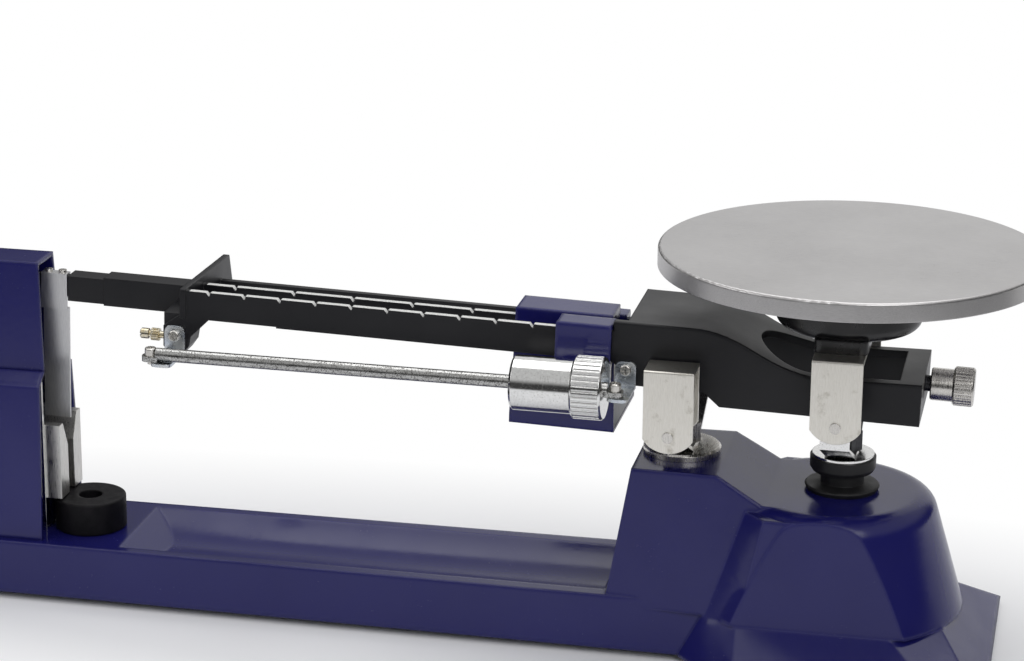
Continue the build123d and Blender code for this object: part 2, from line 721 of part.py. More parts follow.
def bars():
    """Three upright ribs in steps, the rear one highest, with their notches."""
    group = []
    for index, side in enumerate(BAR_SIDES):
        start = ARCH_PLATE_U - 1 if index == 1 else ARCH_FRONT_U - 1
        top = BAR_TOPS[index]
        low = BAR_LOWS[index]
        outline = [(start, low), (BAR_STEP_U, low), (BAR_STEP_U, low + BAR_STEP),
                   (PLATE_U + 1, low + BAR_STEP), (PLATE_U + 1, top), (start, top)]
        group.append(side_plate(outline, side - BAR_T / 2, side + BAR_T / 2))
    for k in range(COUNT_100):
        group[0] -= notch(ZERO_100 + k * STEP_100, BAR_TOPS[0], BAR_SIDES[0])
    for k in range(COUNT_500):
        group[1] -= notch(ZERO_500 + k * STEP_500, BAR_TOPS[1], BAR_SIDES[1])
    return group


def cross_plate():
    """Upright plate that ties the three bars together at the pointer end."""
    outline = [(PLATE_NEAR, BAR_LOWS[0] + BAR_STEP), (PLATE_NEAR, PLATE_TOP),
               (PLATE_FAR, PLATE_TOP - 1.6), (PLATE_FAR - 4.5, 3.0), (-WALL_OUT - 1.5, BAR_LOWS[2]),
               (-TIP_BAR_HALF, -0.5), (LUG_IN, -0.5), (LUG_IN + 2, BAR_LOWS[0] - 2)]
    plate = end_plate(outline, PLATE_U, PLATE_U + PLATE_T)
    crown = [e for e in plate.edges() if e.center().Z > PLATE_TOP - 1.8 and abs(e.tangent_at(0.5).X) > 0.9]
    return fillet(crown, 1.0)


def lug():
    """Hanging block that carries the tare rod's bracket and the trim screw."""
    outline = [(LUG_U - LUG_RUN, BAR_LOWS[0] + 1.0), (LUG_U - 0.6, -3.4), (LUG_U, -7.2), (LUG_U + 2.6, LUG_LOW),
               (LUG_END_U - 2.5, LUG_LOW), (LUG_END_U, LUG_LOW + 3), (LUG_END_U, 0.6),
               (PLATE_U + PLATE_T, BAR_LOWS[0] + 2.0)]
    return side_plate(outline, LUG_IN, WALL_OUT)


def tip_bar():
    start = PLATE_U
    thick = block(start, TIP_STEP_U, -TIP_BAR_HALF, TIP_BAR_HALF, 0, TIP_BAR_TOP)
    thin = block(TIP_STEP_U - 1, TIP_END_U, -TIP_BAR_HALF + 0.4, TIP_BAR_HALF - 0.4,
                 0.5, TIP_BAR_TOP - TIP_STEP)
    tongue = block(TIP_END_U - 1, TONGUE_END_U, -TONGUE_T / 2, TONGUE_T / 2, 1.5, TIP_BAR_TOP - TIP_STEP - 0.8)
    bridge = block(start + 1, LUG_END_U, 0, WALL_OUT - 1, 0.6, BAR_LOWS[0] + 2)
    return thick + thin + tongue + bridge


def beam_casting():
    solid = arch()
    for bar in bars():
        solid += bar
    front_root = block(ARCH_FRONT_U - 14, ARCH_FRONT_U, -WALL_OUT, -WALL_OUT + WALL_T, BAR_LOWS[2], 8)
    solid += front_root
    solid += cross_plate()
    solid += lug()
    solid += tip_bar()
    solid -= knife_hole(False)
    solid -= Pos(-ARM, 0, 0) * knife_hole(True)
    solid -= rod_x(KNOB_STUD_R, ARCH_END_U - 1, ARCH_END_U + 6, 0, KNOB_W)
    solid -= rod_x(TRIM_R, LUG_END_U - 7, LUG_END_U + 1, TRIM_Y, TRIM_W)
    for u, w in bracket_screws_at():
        solid -= rod_y(SCREW_R, WALL_OUT - 2.4, WALL_OUT + 1, u, w)
    return solid


def knife_hole(up):
    return knife(up)


def bracket_screws_at():
    return [(RIGHT_BRACKET_U, 1.4), (LEFT_BRACKET_U, -2.9)]


# Poises, drawn level about the main knife


def poise_500_profile():
    y0, y1 = P500_HEAD_Y
    b0, b1 = P500_BODY_Y
    shoulder = BAR_LOWS[0] - BODY_GAP
    low_shoulder = BAR_LOWS[2] - BODY_GAP - 0.5
    bevel = P500_LOW + P500_BEVEL
    return [(y0, P500_TOP), (y1, P500_TOP), (y1, shoulder), (b1, shoulder), (b1, bevel),
            (b1 - 1.0, P500_LOW), (b0 + 1.0, P500_LOW), (b0, bevel), (b0, low_shoulder),
            (y0, low_shoulder)]


def poise_500_pocket():
    b0, b1 = P500_BODY_Y
    shoulder = BAR_LOWS[0] - BODY_GAP
    low_shoulder = BAR_LOWS[2] - BODY_GAP - 0.5
    skin = P500_SHELL
    head = P500_HEAD_Y[0]
    floor = BAR_LOWS[1] - BAR_GAP - 1.5
    return [(head + skin, floor), (5.0, floor), (5.0, shoulder - skin), (b1 - skin, shoulder - skin),
            (b1 - skin, P500_LOW + P500_BEVEL), (b1 - skin - 1.0, P500_LOW + skin),
            (b0 + skin + 1.0, P500_LOW + skin), (b0 + skin, P500_LOW + P500_BEVEL),
            (b0 + skin, low_shoulder - skin), (head + skin, low_shoulder - skin)]


def flared_sides(inset):
    """Side view of the largest poise, a little wider at the bottom than at the top."""
    b0, b1 = P500_U
    top = BAR_LOWS[0] - BODY_GAP
    outline = [(b0 + inset, top), (b0 + inset - P500_FLARE, P500_LOW),
               (b1 - inset + P500_FLARE, P500_LOW), (b1 - inset, top)]
    return side_plate(outline, -60, 60)


def poise_500_shell():
    """Painted housing of the largest poise, which runs over the middle bar."""
    b0, b1 = P500_U
    h0, h1 = P500_HEAD_U
    split = BAR_LOWS[0] - BODY_GAP
    form = end_plate(poise_500_profile(), b0 - P500_FLARE, b1 + P500_FLARE) & flared_sides(0)
    form += end_plate(poise_500_profile(), b0, b1)
    form -= block(b0 - 1, h0, -40, 40, split, 30)
    form += end_plate([(P500_HEAD_Y[0], split), (P500_HEAD_Y[1], split),
                       (P500_HEAD_Y[1], P500_TOP), (P500_HEAD_Y[0], P500_TOP)], h0, h1)
    half = BAR_T / 2 + BAR_GAP
    roof = BAR_TOPS[1] + TOP_GAP + 1.4
    form -= block(b0 - 5, h1 + 5, -half, half, BAR_LOWS[1] - BAR_GAP, roof)
    crown = [e for e in form.edges() if e.center().Z > P500_TOP - 0.1]
    form = fillet(crown, 0.7)
    return form - end_plate(poise_500_pocket(), b0 - 3, b1 + 3)


def poise_500_weight():
    """Cast filling of the largest poise, bare metal at both ends."""
    return end_plate(poise_500_pocket(), P500_U[0] - 3, P500_U[1] + 3) & flared_sides(0.2)


def poise_500_index():
    """Blade under the roof of the poise that drops into a notch."""
    half = BAR_T / 2 + BAR_GAP
    top = BAR_TOPS[1] + TOP_GAP + 1.4
    low = BAR_TOPS[1] + TOP_GAP
    outline = [(ZERO_500 - 1.0, top), (ZERO_500 + 0.4, low), (ZERO_500 + 1.6, top)]
    return side_plate(outline, -half, half)


def poise_100_shell():
    """Painted poise that runs over the rear bar, with a slightly flared skirt."""
    y0, y1 = P100_Y
    step = P100_STEP_Y
    ledge = BAR_LOWS[0] + 1.2
    mid = 10.4
    outline = [(y0, P100_TOP), (y1 - 0.5, P100_TOP), (y1 - 0.5, mid), (y1, P100_LOW), (step, P100_LOW),
               (step, ledge), (y0, ledge)]
    form = end_plate(outline, *P100_U)
    side = BAR_SIDES[0]
    half = BAR_T / 2 + BAR_GAP - 0.1
    roof = BAR_TOPS[0] + TOP_GAP + 0.8
    form -= block(P100_U[0] - 1, P100_U[1] + 1, side - half, side + half, BAR_LOWS[0] - BAR_GAP + 0.3, roof)
    form -= block(P100_RELIEF_U, P100_U[1] + 1, y0 - 1, side + half, P100_LOW - 1, BAR_LOWS[0] + P100_RELIEF_RISE)
    crown = [e for e in form.edges() if e.center().Z > P100_TOP - 0.1]
    return fillet(crown, 0.7)


def poise_100_index():
    side = BAR_SIDES[0]
    half = BAR_T / 2 + BAR_GAP - 0.1
    top = BAR_TOPS[0] + TOP_GAP + 0.8
    low = BAR_TOPS[0] + TOP_GAP
    outline = [(ZERO_100 - 0.5, top), (ZERO_100 + 0.4, low), (ZERO_100 + 1.3, top)]
    return side_plate(outline, side - half, side + half)


def poise_10_shell():
    """Small rider that slides on the front bar without notches."""
    y0, y1 = P10_Y
    outline = [(y0, P10_LOW), (y0, P10_TOP - 1.5), (y0 + 1.5, P10_TOP), (y1, P10_TOP), (y1, P10_LOW)]
    form = end_plate(outline, *P10_U)
    side = BAR_SIDES[2]
    half = BAR_T / 2 + BAR_GAP - 0.2
    form -= block(P10_U[0] - 1, P10_U[1] + 1, side - half, side + half, P10_LOW - 1, BAR_TOPS[2] + TOP_GAP)
    window = side_plate([(32.0, -1.0), (36.4, -1.0), (35.0, 5.2), (33.4, 5.2)], y0 - 1, side - half)
    return form - window


def poise_10_spring():
    """Bent leaf inside the rider that bears on the bar."""
    side = BAR_SIDES[2]
    inner = side + BAR_T / 2 + BAR_GAP - 0.2
    y1 = inner
    y0 = y1 - 0.3
    return block(P10_U[0] + 2, P10_U[1] - 2, y0, y1, P10_LOW + 0.5, BAR_TOPS[2] - 1.5)


# Tare rod, brackets and screws


def rod_slope():
    return math.degrees(math.atan2(ROD_END[1] - ROD_START[1], ROD_END[0] - ROD_START[0]))


def along_rod(shape):
    """Places a shape drawn along X from the rod's right end onto the rod."""
    return Pos(ROD_START[0], ROD_Y, ROD_START[1]) * Rot(0, -rod_slope(), 0) * shape


def rod_length():
    return math.dist(ROD_START, ROD_END)


def tare_rod():
    """Plated rod whose two ends are pressed flat for a screw."""
    length = rod_length()
    tab = ROD_TAB
    shaft = rod_x(ROD_R, tab - 1, length - tab + 1)
    tabs = []
    for centre in (tab / 2, length - tab / 2):
        plate = block(centre - tab / 2, centre + tab / 2, -3.0, 3.0, -ROD_R, -ROD_R + 2.2)
        tabs.append(plate)
    corners = [e for plate in tabs for e in plate.edges().filter_by(Axis.Z)
               if min(abs(e.center().X), abs(e.center().X - length)) < 0.1]
    tabs[0] = fillet(corners[:2], 2.6)
    tabs[1] = fillet(corners[2:], 2.6)
    solid = along_rod(shaft + tabs[0] + tabs[1])
    for index in (0, 1):
        u, w = rod_seat(index)
        solid -= rod_z(SCREW_R, w - 5, w + 5, u, ROD_Y)
    return solid


def rod_screw_spots():
    return (3.4, rod_length() - 3.4)


def rod_seat(index):
    """Beam position of a rod end's underside, where its bracket meets it."""
    along = rod_screw_spots()[index]
    angle = math.radians(rod_slope())
    u = ROD_START[0] + along * math.cos(angle) + ROD_R * math.sin(angle)
    w = ROD_START[1] + along * math.sin(angle) - ROD_R * math.cos(angle)
    return u, w


def bracket(centre_u, top_w, index):
    """Bent angle whose upright leg is screwed to the casting and whose foot holds the rod."""
    seat_u, seat_w = rod_seat(index)
    seat_w -= FOOT_GAP
    half = BRACKET_W / 2
    y0 = WALL_OUT
    leg = block(-half, half, y0, y0 + BRACKET_T, seat_w - BRACKET_T, top_w)
    leg = fillet(leg.edges().filter_by(Axis.Y).sort_by(Axis.Z)[-2:], 2.6)
    foot = block(-half, half, y0, ROD_Y + 4.0, -BRACKET_T, 0)
    foot = fillet(foot.edges().filter_by(Axis.Z).sort_by(Axis.Y)[-2:], 2.6)
    foot = Pos(0, 0, seat_w) * foot
    solid = Pos(centre_u, 0, 0) * (leg + foot)
    solid -= rod_z(SCREW_R, seat_w - 4, seat_w + 2, seat_u, ROD_Y)
    u, w = bracket_screws_at()[index]
    return solid - rod_y(SCREW_R, y0 - 2, y0 + 4, u, w)


def right_bracket():
    return bracket(RIGHT_BRACKET_U, 4.6, 0)


def left_bracket():
    return bracket(LEFT_BRACKET_U, 1.2, 1)


def cross_head_screw(length, head_t=SCREW_HEAD_T):
    """Pan head screw along +Z with its head on top of Z = 0."""
    head = Pos(0, 0, head_t / 2) * Cylinder(SCREW_HEAD_R, head_t)
    head = fillet(head.edges().sort_by(Axis.Z)[-1], 0.7)
    slot = Box(SCREW_HEAD_R * 1.3, 0.6, 1.0) + Box(0.6, SCREW_HEAD_R * 1.3, 1.0)
    head -= Pos(0, 0, head_t) * slot
    return head + rod_z(SCREW_R, -length, 0.2)


def bracket_screws():
    screws = []
    for u, w in bracket_screws_at():
        screw = cross_head_screw(BRACKET_T + 2.4)
        screws.append(Pos(u, WALL_OUT + BRACKET_T, w) * Rot(-90, 0, 0) * screw)
    return screws


def rod_screws():
    """Screws through the flat rod ends into the feet of the brackets."""
    screws = []
    for index in (0, 1):
        u, w = rod_seat(index)
        screw = cross_head_screw(2.2 + BRACKET_T + 0.2, ROD_SCREW_HEAD_T)
        screws.append(Pos(u, ROD_Y, w + 2.2 + FIT_GAP) * screw)
    return screws


def tare_poise():
    """Plated cylinder with a bore for the rod."""
    start = TARE_START_U + TARE_RING_LEN - ROD_START[0]
    body = rod_x(TARE_R, start, start + TARE_LEN)
    body = chamfer(body.edges().filter_by(GeomType.CIRCLE).sort_by(Axis.X)[-1], 1.0)
    neck = rod_x(TARE_R - 3.5, start - TARE_RING_LEN + 3.0, start)
    return along_rod(body + neck - rod_x(ROD_R + RUN_GAP, start - 20, start + TARE_LEN + 5))


def tare_ring():
    """Fluted ring that locks the tare cylinder on its rod."""
    start = TARE_START_U - ROD_START[0]
    ring = rod_x(TARE_RING_R, start, start + TARE_RING_LEN - 0.3)
    ring = chamfer(ring.edges().filter_by(GeomType.CIRCLE), 0.7)
    flutes = 36
    for k in range(flutes):
        angle = math.radians(360.0 / flutes * k)
        y = math.cos(angle) * (TARE_RING_R + 0.25)
        z = math.sin(angle) * (TARE_RING_R + 0.25)
        ring -= rod_x(0.62, start + 1.0, start + TARE_RING_LEN - 1.2, y, z)
    ring -= rod_x(TARE_R - 3.5 + RUN_GAP, start + 3.0 - RUN_GAP, start + TARE_RING_LEN + 1)
    return along_rod(ring - rod_x(ROD_R + RUN_GAP, start - 1, start + TARE_RING_LEN))


def trim_screw():
    """Threaded pin in the lug, with a nut-like head at its outer end."""
    start = LUG_END_U + TRIM_REACH
    shank = rod_x(TRIM_R, LUG_END_U - 6, start)
    head = rod_x(TRIM_HEAD_R, start, start + TRIM_HEAD_T)
    head = chamfer(head.edges().filter_by(GeomType.CIRCLE), 0.4)
    head -= block(start + TRIM_HEAD_T - 0.8, start + TRIM_HEAD_T + 1, -4, 4, -0.35, 0.35)
    return Pos(0, TRIM_Y, TRIM_W) * (shank + head)


def trim_nut():
    """Round fluted nut that runs along the trim screw."""
    u0 = LUG_END_U + 3.4
    nut = rod_x(TRIM_NUT_R, u0, u0 + TRIM_NUT_T)
    for k in range(12):
        angle = math.radians(30.0 * k)
        y = math.cos(angle) * TRIM_NUT_R
        z = math.sin(angle) * TRIM_NUT_R
        nut -= rod_x(0.45, u0 - 1, u0 + TRIM_NUT_T + 1, y, z)
    return Pos(0, TRIM_Y, TRIM_W) * (nut - rod_x(TRIM_R + RUN_GAP, u0 - 1, u0 + TRIM_NUT_T + 1))


def knob_stud():
    """Threaded stud in the end of the arch."""
    return rod_x(KNOB_STUD_R, ARCH_END_U - KNOB_GAP - KNOB_BARREL_L - 3, ARCH_END_U + 6, 0, KNOB_W)


def zero_knob():
    """Balancing knob with a plain barrel and a fluted grip."""
    start = ARCH_END_U - KNOB_GAP
    barrel = rod_x(KNOB_BARREL_R, start - KNOB_BARREL_L, start)
    barrel = chamfer(barrel.edges().filter_by(GeomType.CIRCLE).sort_by(Axis.X)[-1], 0.5)
    end = start - KNOB_BARREL_L
    grip = rod_x(KNOB_GRIP_R, end - KNOB_GRIP_L, end)
    grip = chamfer(grip.edges().filter_by(GeomType.CIRCLE), 0.7)
    flutes = 30
    for k in range(flutes):
        angle = math.radians(360.0 / flutes * k)
        y = math.cos(angle) * (KNOB_GRIP_R + 0.2)
        z = math.sin(angle) * (KNOB_GRIP_R + 0.2)
        grip -= rod_x(0.45, end - KNOB_GRIP_L + 0.9, end - 0.9, y, z)
    knob = barrel + grip
    bore_end = ARCH_END_U - KNOB_GAP - KNOB_BARREL_L - 3 - 0.6
    knob -= rod_x(KNOB_STUD_R + RUN_GAP, bore_end, start + 1)
    return Pos(0, 0, KNOB_W) * knob


# Pointer and damper


def damper_vane():
    """Aluminium blade, folded over the beam's tongue and stepped where it turns down."""
    u0, u1 = VANE_U
    top = TIP_BAR_TOP - TIP_STEP - 0.8
    y0 = TONGUE_T / 2
    jog = VANE_JOG
    tab = block(u0, u1, -TONGUE_T / 2 - 0.8, y0 + VANE_T, top, top + VANE_T)
    upper = block(u0, u1, y0, y0 + VANE_T, VANE_JOG_W, top + VANE_T)
    fold = side_plate([(u0, VANE_JOG_W), (u1, VANE_JOG_W), (u1, VANE_JOG_W - VANE_T), (u0, VANE_JOG_W - VANE_T)],
                      y0 - jog, y0 + VANE_T)
    blade = block(u0 - 0.7, u1 - 0.7, y0 - jog, y0 - jog + VANE_T, VANE_END_W, VANE_JOG_W)
    return tab + upper + fold + blade


def vane_screws():
    """Two screws that clamp the vane on top of the tongue."""
    top = TIP_BAR_TOP - TIP_STEP - 0.8 + VANE_T
    u0, u1 = VANE_U
    screws = []
    for u in (u0 + 2.6, u1 - 2.8):
        head = rod_z(1.7, top, top + 1.2, u, 0)
        screws.append(head - block(u - 2, u + 2, -0.25, 0.25, top + 0.8, top + 2))
    return screws


def pointer():
    """Thin blade that carries the index line out through the housing."""
    w0, w1 = POINTER_W
    mid = (w0 + w1) / 2
    tip = POINTER_TIP_TALL / 2
    outline = [(TONGUE_END_U - 8, w0), (TONGUE_END_U + 30, w0), (POINTER_END_U - 12, mid - tip),
               (POINTER_END_U, mid - tip * 0.6), (POINTER_END_U, mid + tip * 0.6),
               (POINTER_END_U - 12, mid + tip), (TONGUE_END_U + 30, w1), (TONGUE_END_U - 8, w1)]
    y0 = -TONGUE_T / 2 - POINTER_T
    return side_plate(outline, y0, y0 + POINTER_T)


def housing_form(low_x, high_x, low_half, high_half, z0, z1, inset=0.0):
    """Form that leans in towards the top, open towards the pan where it is inset."""
    reach = 12.0 if inset else 0.0
    low = mirrored([(low_x[1] - inset, low_half - inset), (low_x[0] - reach, low_half - inset)])
    high = mirrored([(high_x[1] - inset, high_half - inset), (high_x[0] - reach, high_half - inset)])
    form = tapered(low, z0, high, z1)
    if inset:
        return form
    middle = (low_x[0] + low_x[1]) / 2
    corners = [e for e in form.edges() if abs(e.tangent_at(0.5).Z) > 0.2 and e.center().X > middle]
    return fillet(corners, 3.0)


def housing_lower():
    """Lower housing with a sloping shoulder, open towards the pan."""
    wall = HOUSE_WALL
    shoulder_x = (HOUSE_HIGH_X[0] + 0.4, HOUSE_TOP_END)
    body = housing_form(HOUSE_LOW_X, HOUSE_HIGH_X, HOUSE_LOW_HALF, HOUSE_HIGH_HALF,
                        SPINE_TOP, HOUSE_SHOULDER)
    body += housing_form(HOUSE_HIGH_X, shoulder_x, HOUSE_HIGH_HALF, HOUSE_TOP_HALF,
                         HOUSE_SHOULDER, HOUSE_TOP)
    body -= housing_form(HOUSE_LOW_X, HOUSE_HIGH_X, HOUSE_LOW_HALF, HOUSE_HIGH_HALF,
                         SPINE_TOP, HOUSE_SHOULDER, wall)
    body -= housing_form(HOUSE_HIGH_X, shoulder_x, HOUSE_HIGH_HALF, HOUSE_TOP_HALF,
                         HOUSE_SHOULDER, HOUSE_TOP, wall)
    return body


def housing_cover():
    """Narrow cap that stands on the shoulder, with a slot for the pointer."""
    cover = housing_form(COVER_LOW_X, COVER_TOP_X, COVER_LOW_HALF, COVER_TOP_HALF, HOUSE_TOP, COVER_TOP)
    cover -= housing_form(COVER_LOW_X, COVER_TOP_X, COVER_LOW_HALF, COVER_TOP_HALF, HOUSE_TOP,
                          COVER_TOP - COVER_WALL, COVER_WALL)
    return cover - block(COVER_TOP_X[1] - 10, COVER_LOW_X[1] + 1, *SLOT_Y, *SLOT_H)


def scale_plate():
    """White plate with the index marks, set beside the pointer's slot."""
    lean = (COVER_LOW_X[1] - COVER_TOP_X[1]) / (COVER_TOP - HOUSE_TOP)
    z0, z1 = SLOT_H[0] - 2.5, SLOT_H[1] + 1.5
    x0 = COVER_LOW_X[1] - lean * (z0 - HOUSE_TOP)
    x1 = COVER_LOW_X[1] - lean * (z1 - HOUSE_TOP)
    outline = [(x0, z0), (x0 + SCALE_T, z0), (x1 + SCALE_T, z1), (x1, z1)]
    return side_plate(outline, SLOT_Y[1] + 0.4, SLOT_Y[1] + 0.4 + SCALE_W)


def damper_yoke():
    """Plated channel that stands in the housing and holds the two magnets."""
    x0, x1 = DAMPER_X
    out = DAMPER_IN + DAMPER_T
    yoke_form = block(x0, x1, -out, out, SPINE_TOP, DAMPER_TOP)
    return yoke_form - block(x0 - 1, x1 + 1, -DAMPER_IN, DAMPER_IN, SPINE_TOP + DAMPER_T, DAMPER_TOP + 1)


def damper_magnets():
    """Two blocks with a lead-in vee between which the vane hangs."""
    z0, z1 = MAGNET_H
    blocks = []
    for side in (1, -1):
        outline = [(MAGNET_GAP, z0), (DAMPER_IN, z0), (DAMPER_IN, z1), (MAGNET_GAP + MAGNET_LEAD, z1),
                   (MAGNET_GAP, z1 - 2.2 * MAGNET_LEAD)]
        magnet = end_plate(outline, *MAGNET_X)
        blocks.append(magnet if side > 0 else mirror(magnet, Plane.XZ))
    return blocks


def attachment_weight():
    disc = rod_z(WEIGHT_R, SPINE_TOP, SPINE_TOP + WEIGHT_T, WEIGHT_X, WEIGHT_Y)
    disc = fillet(disc.edges().filter_by(GeomType.CIRCLE), 0.8)
    return disc - rod_z(WEIGHT_BORE_R, SPINE_TOP - 1, SPINE_TOP + WEIGHT_T + 1, WEIGHT_X, WEIGHT_Y)


def main():
    os.makedirs("parts", exist_ok=True)
    made("base_casting", base_casting())
    made("rubber_feet", *rubber_feet())
    made("main_washer", main_washer())
    made("main_yoke", main_yoke())
    made("main_yoke_bolt", main_yoke_bolt())
    made("main_agates", at_main(agate(1, True)), at_main(agate(-1, True)))
    made("main_bearing_caps", at_main(bearing_cap(1, MAIN_CAP_RISE)), at_main(bearing_cap(-1, MAIN_CAP_RISE)))
    made("main_cap_rivets", *[at_main(pin) for pin in rivets(MAIN_CAP_RISE)])
    made("rubber_stop", rubber_stop())
    made("check_link_shaft", rod_y(LINK_SHAFT_R, -TOWER_FOOT_HALF + 0.6, TOWER_FOOT_HALF - 0.6, ARM, LINK_H))
    made("housing_lower", housing_lower())
    made("housing_cover", housing_cover())
    made("scale_plate", scale_plate())
    made("damper_yoke", damper_yoke())
    made("damper_magnets", *damper_magnets())
    made("beam_casting", on_beam(beam_casting()))
    made("main_knife", on_beam(knife(False)))
    made("pan_knife", on_beam(Pos(-ARM, 0, 0) * knife(True)))
    made("damper_vane", on_beam(damper_vane()))
    made("vane_screws", *[on_beam(screw) for screw in vane_screws()])
    made("pointer", on_beam(pointer()))
    made("tare_bracket_right", on_beam(right_bracket()))
    made("tare_bracket_left", on_beam(left_bracket()))
    made("bracket_screws", *[on_beam(screw) for screw in bracket_screws()])
    made("tare_rod", on_beam(tare_rod()))
    made("rod_screws", *[on_beam(screw) for screw in rod_screws()])
    made("trim_screw", on_beam(trim_screw()))
    made("trim_nut", on_beam(trim_nut()))
    made("knob_stud", on_beam(knob_stud()))
    made("zero_knob", on_beam(zero_knob()))
    made("poise_500g", on_beam(poise_500_shell()))
    made("poise_500g_weight", on_beam(poise_500_weight()))
    made("poise_500g_index", on_beam(poise_500_index()))
    made("poise_100g", on_beam(poise_100_shell()))
    made("poise_100g_index", on_beam(poise_100_index()))
    made("poise_10g", on_beam(poise_10_shell()))
    made("poise_10g_spring", on_beam(poise_10_spring()))
    made("tare_poise", on_beam(tare_poise()))
    made("tare_lock_ring", on_beam(tare_ring()))
    made("carrier_frame", on_pan_knife(carrier_frame()))
    made("carrier_agates", on_pan_knife(agate(1, False)), on_pan_knife(agate(-1, False)))
    made("carrier_yoke", on_pan_knife(pan_yoke()))
    made("carrier_rivets", *[on_pan_knife(pin) for pin in rivets(PAN_CAP_RISE)])
    made("carrier_washer", on_pan_knife(carrier_washer()))
    made("carrier_stem", on_pan_knife(carrier_stem()))
    made("carrier_stem_pin", on_pan_knife(stem_pin()))
    made("pan_hub", pan_hub())
    made("pan", Pos(PAN_KNIFE_X, 0, 0) * pan())
    made("check_link", Pos(ARM, 0, LINK_H) * Rot(0, -REST_TILT, 0) * check_link())
    made("attachment_weight", attachment_weight())


main()
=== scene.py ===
import json
import math
import bpy
from mathutils import Matrix, Vector


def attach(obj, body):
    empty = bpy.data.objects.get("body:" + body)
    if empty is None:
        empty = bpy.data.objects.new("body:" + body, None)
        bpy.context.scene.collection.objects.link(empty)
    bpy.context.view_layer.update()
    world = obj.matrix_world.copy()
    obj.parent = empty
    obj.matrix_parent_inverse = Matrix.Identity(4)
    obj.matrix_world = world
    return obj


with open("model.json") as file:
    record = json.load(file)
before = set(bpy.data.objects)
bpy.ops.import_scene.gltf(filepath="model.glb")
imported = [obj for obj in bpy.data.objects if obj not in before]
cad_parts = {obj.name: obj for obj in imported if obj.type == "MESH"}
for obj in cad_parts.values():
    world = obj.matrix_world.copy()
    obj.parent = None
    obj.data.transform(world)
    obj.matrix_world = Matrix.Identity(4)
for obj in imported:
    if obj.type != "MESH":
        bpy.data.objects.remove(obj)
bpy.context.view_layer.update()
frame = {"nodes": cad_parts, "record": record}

# The beam leans by its resting tilt about the main knife. Along is measured towards the
# pointer from the knife, height at right angles above it, both in millimetres.
KNIFE = Vector((-0.109, 0.0, 0.117))
TILT = math.radians(1.6)
BAR_THICK = 3.0
REAR_BAR_Y = 23.2
FRONT_BAR_Y = -23.2
REAR_BAR_TOP = 16.1
MIDDLE_BAR_TOP = 12.3
FRONT_BAR_TOP = 7.5
BAR_END = 201.0
REAR_ZERO = 42.8
REAR_STEP = 14.83
MIDDLE_ZERO = 62.0
MIDDLE_STEP = 25.0
FRONT_ZERO = 34.2
FRONT_TRAVEL = 149.0
MARK_DEPTH = 0.05
MARK_SUNK = 0.005
NOTCH_MARK = (0.35, 2.2)
NOTCH_MARK_DROP = 3.2
NOTCH_FIGURE = 4.4
NOTCH_FIGURE_DROP = 8.4
TENTH_MARK = (0.22, 1.7)
HALF_MARK = (0.25, 2.4)
WHOLE_MARK = (0.30, 3.1)
FRONT_MARK_DROP = 0.5
FRONT_FIGURE = 4.0
FRONT_FIGURE_DROP = 7.2
WHITE_EDGE_START = 27.0
WHITE_EDGE_END = BAR_END - 1.5
WHITE_EDGE_DEEP = 1.45
WHITE_EDGE_INSET = 0.35
WHITE_EDGE_OVER = 0.1


def beam_place(along, y, height):
    """Point of the leaning beam, in metres."""
    u, w = along / 1000, height / 1000
    x = KNIFE.x + u * math.cos(TILT) - w * math.sin(TILT)
    z = KNIFE.z + u * math.sin(TILT) + w * math.cos(TILT)
    return Vector((x, y / 1000, z))


def clear_selection():
    bpy.ops.object.select_all(action="DESELECT")
    bpy.context.view_layer.objects.active = None


def settle(piece):
    """Puts a piece's place into its mesh."""
    clear_selection()
    piece.select_set(True)
    bpy.context.view_layer.objects.active = piece
    bpy.ops.object.transform_apply(location=True, rotation=True, scale=True)


# Camera at the photograph's view


def photo_camera():
    azimuth = math.radians(191.871)
    elevation = math.radians(17.073)
    roll = math.radians(0.441)
    distance = 1.1911
    away = Vector((math.sin(azimuth) * math.cos(elevation),
                   -math.cos(azimuth) * math.cos(elevation), math.sin(elevation)))
    target = Vector((-0.03818, 0.0, 0.12376))
    right = (-away).cross(Vector((0, 0, 1))).normalized()
    up = right.cross(-away)
    right_rolled = math.cos(roll) * right + math.sin(roll) * up
    up_rolled = math.cos(roll) * up - math.sin(roll) * right
    place = target + away * distance
    lens = bpy.data.cameras.new("photo_camera")
    lens.sensor_width = 36.0
    lens.lens = 103.43
    lens.clip_start = 0.01
    lens.clip_end = 50.0
    camera = bpy.data.objects.new("photo_camera", lens)
    bpy.context.scene.collection.objects.link(camera)
    columns = Matrix((right_rolled, up_rolled, away)).transposed()
    camera.matrix_world = Matrix.Translation(place) @ columns.to_4x4()
    bpy.context.scene.camera = camera


# Small tools for building a surface


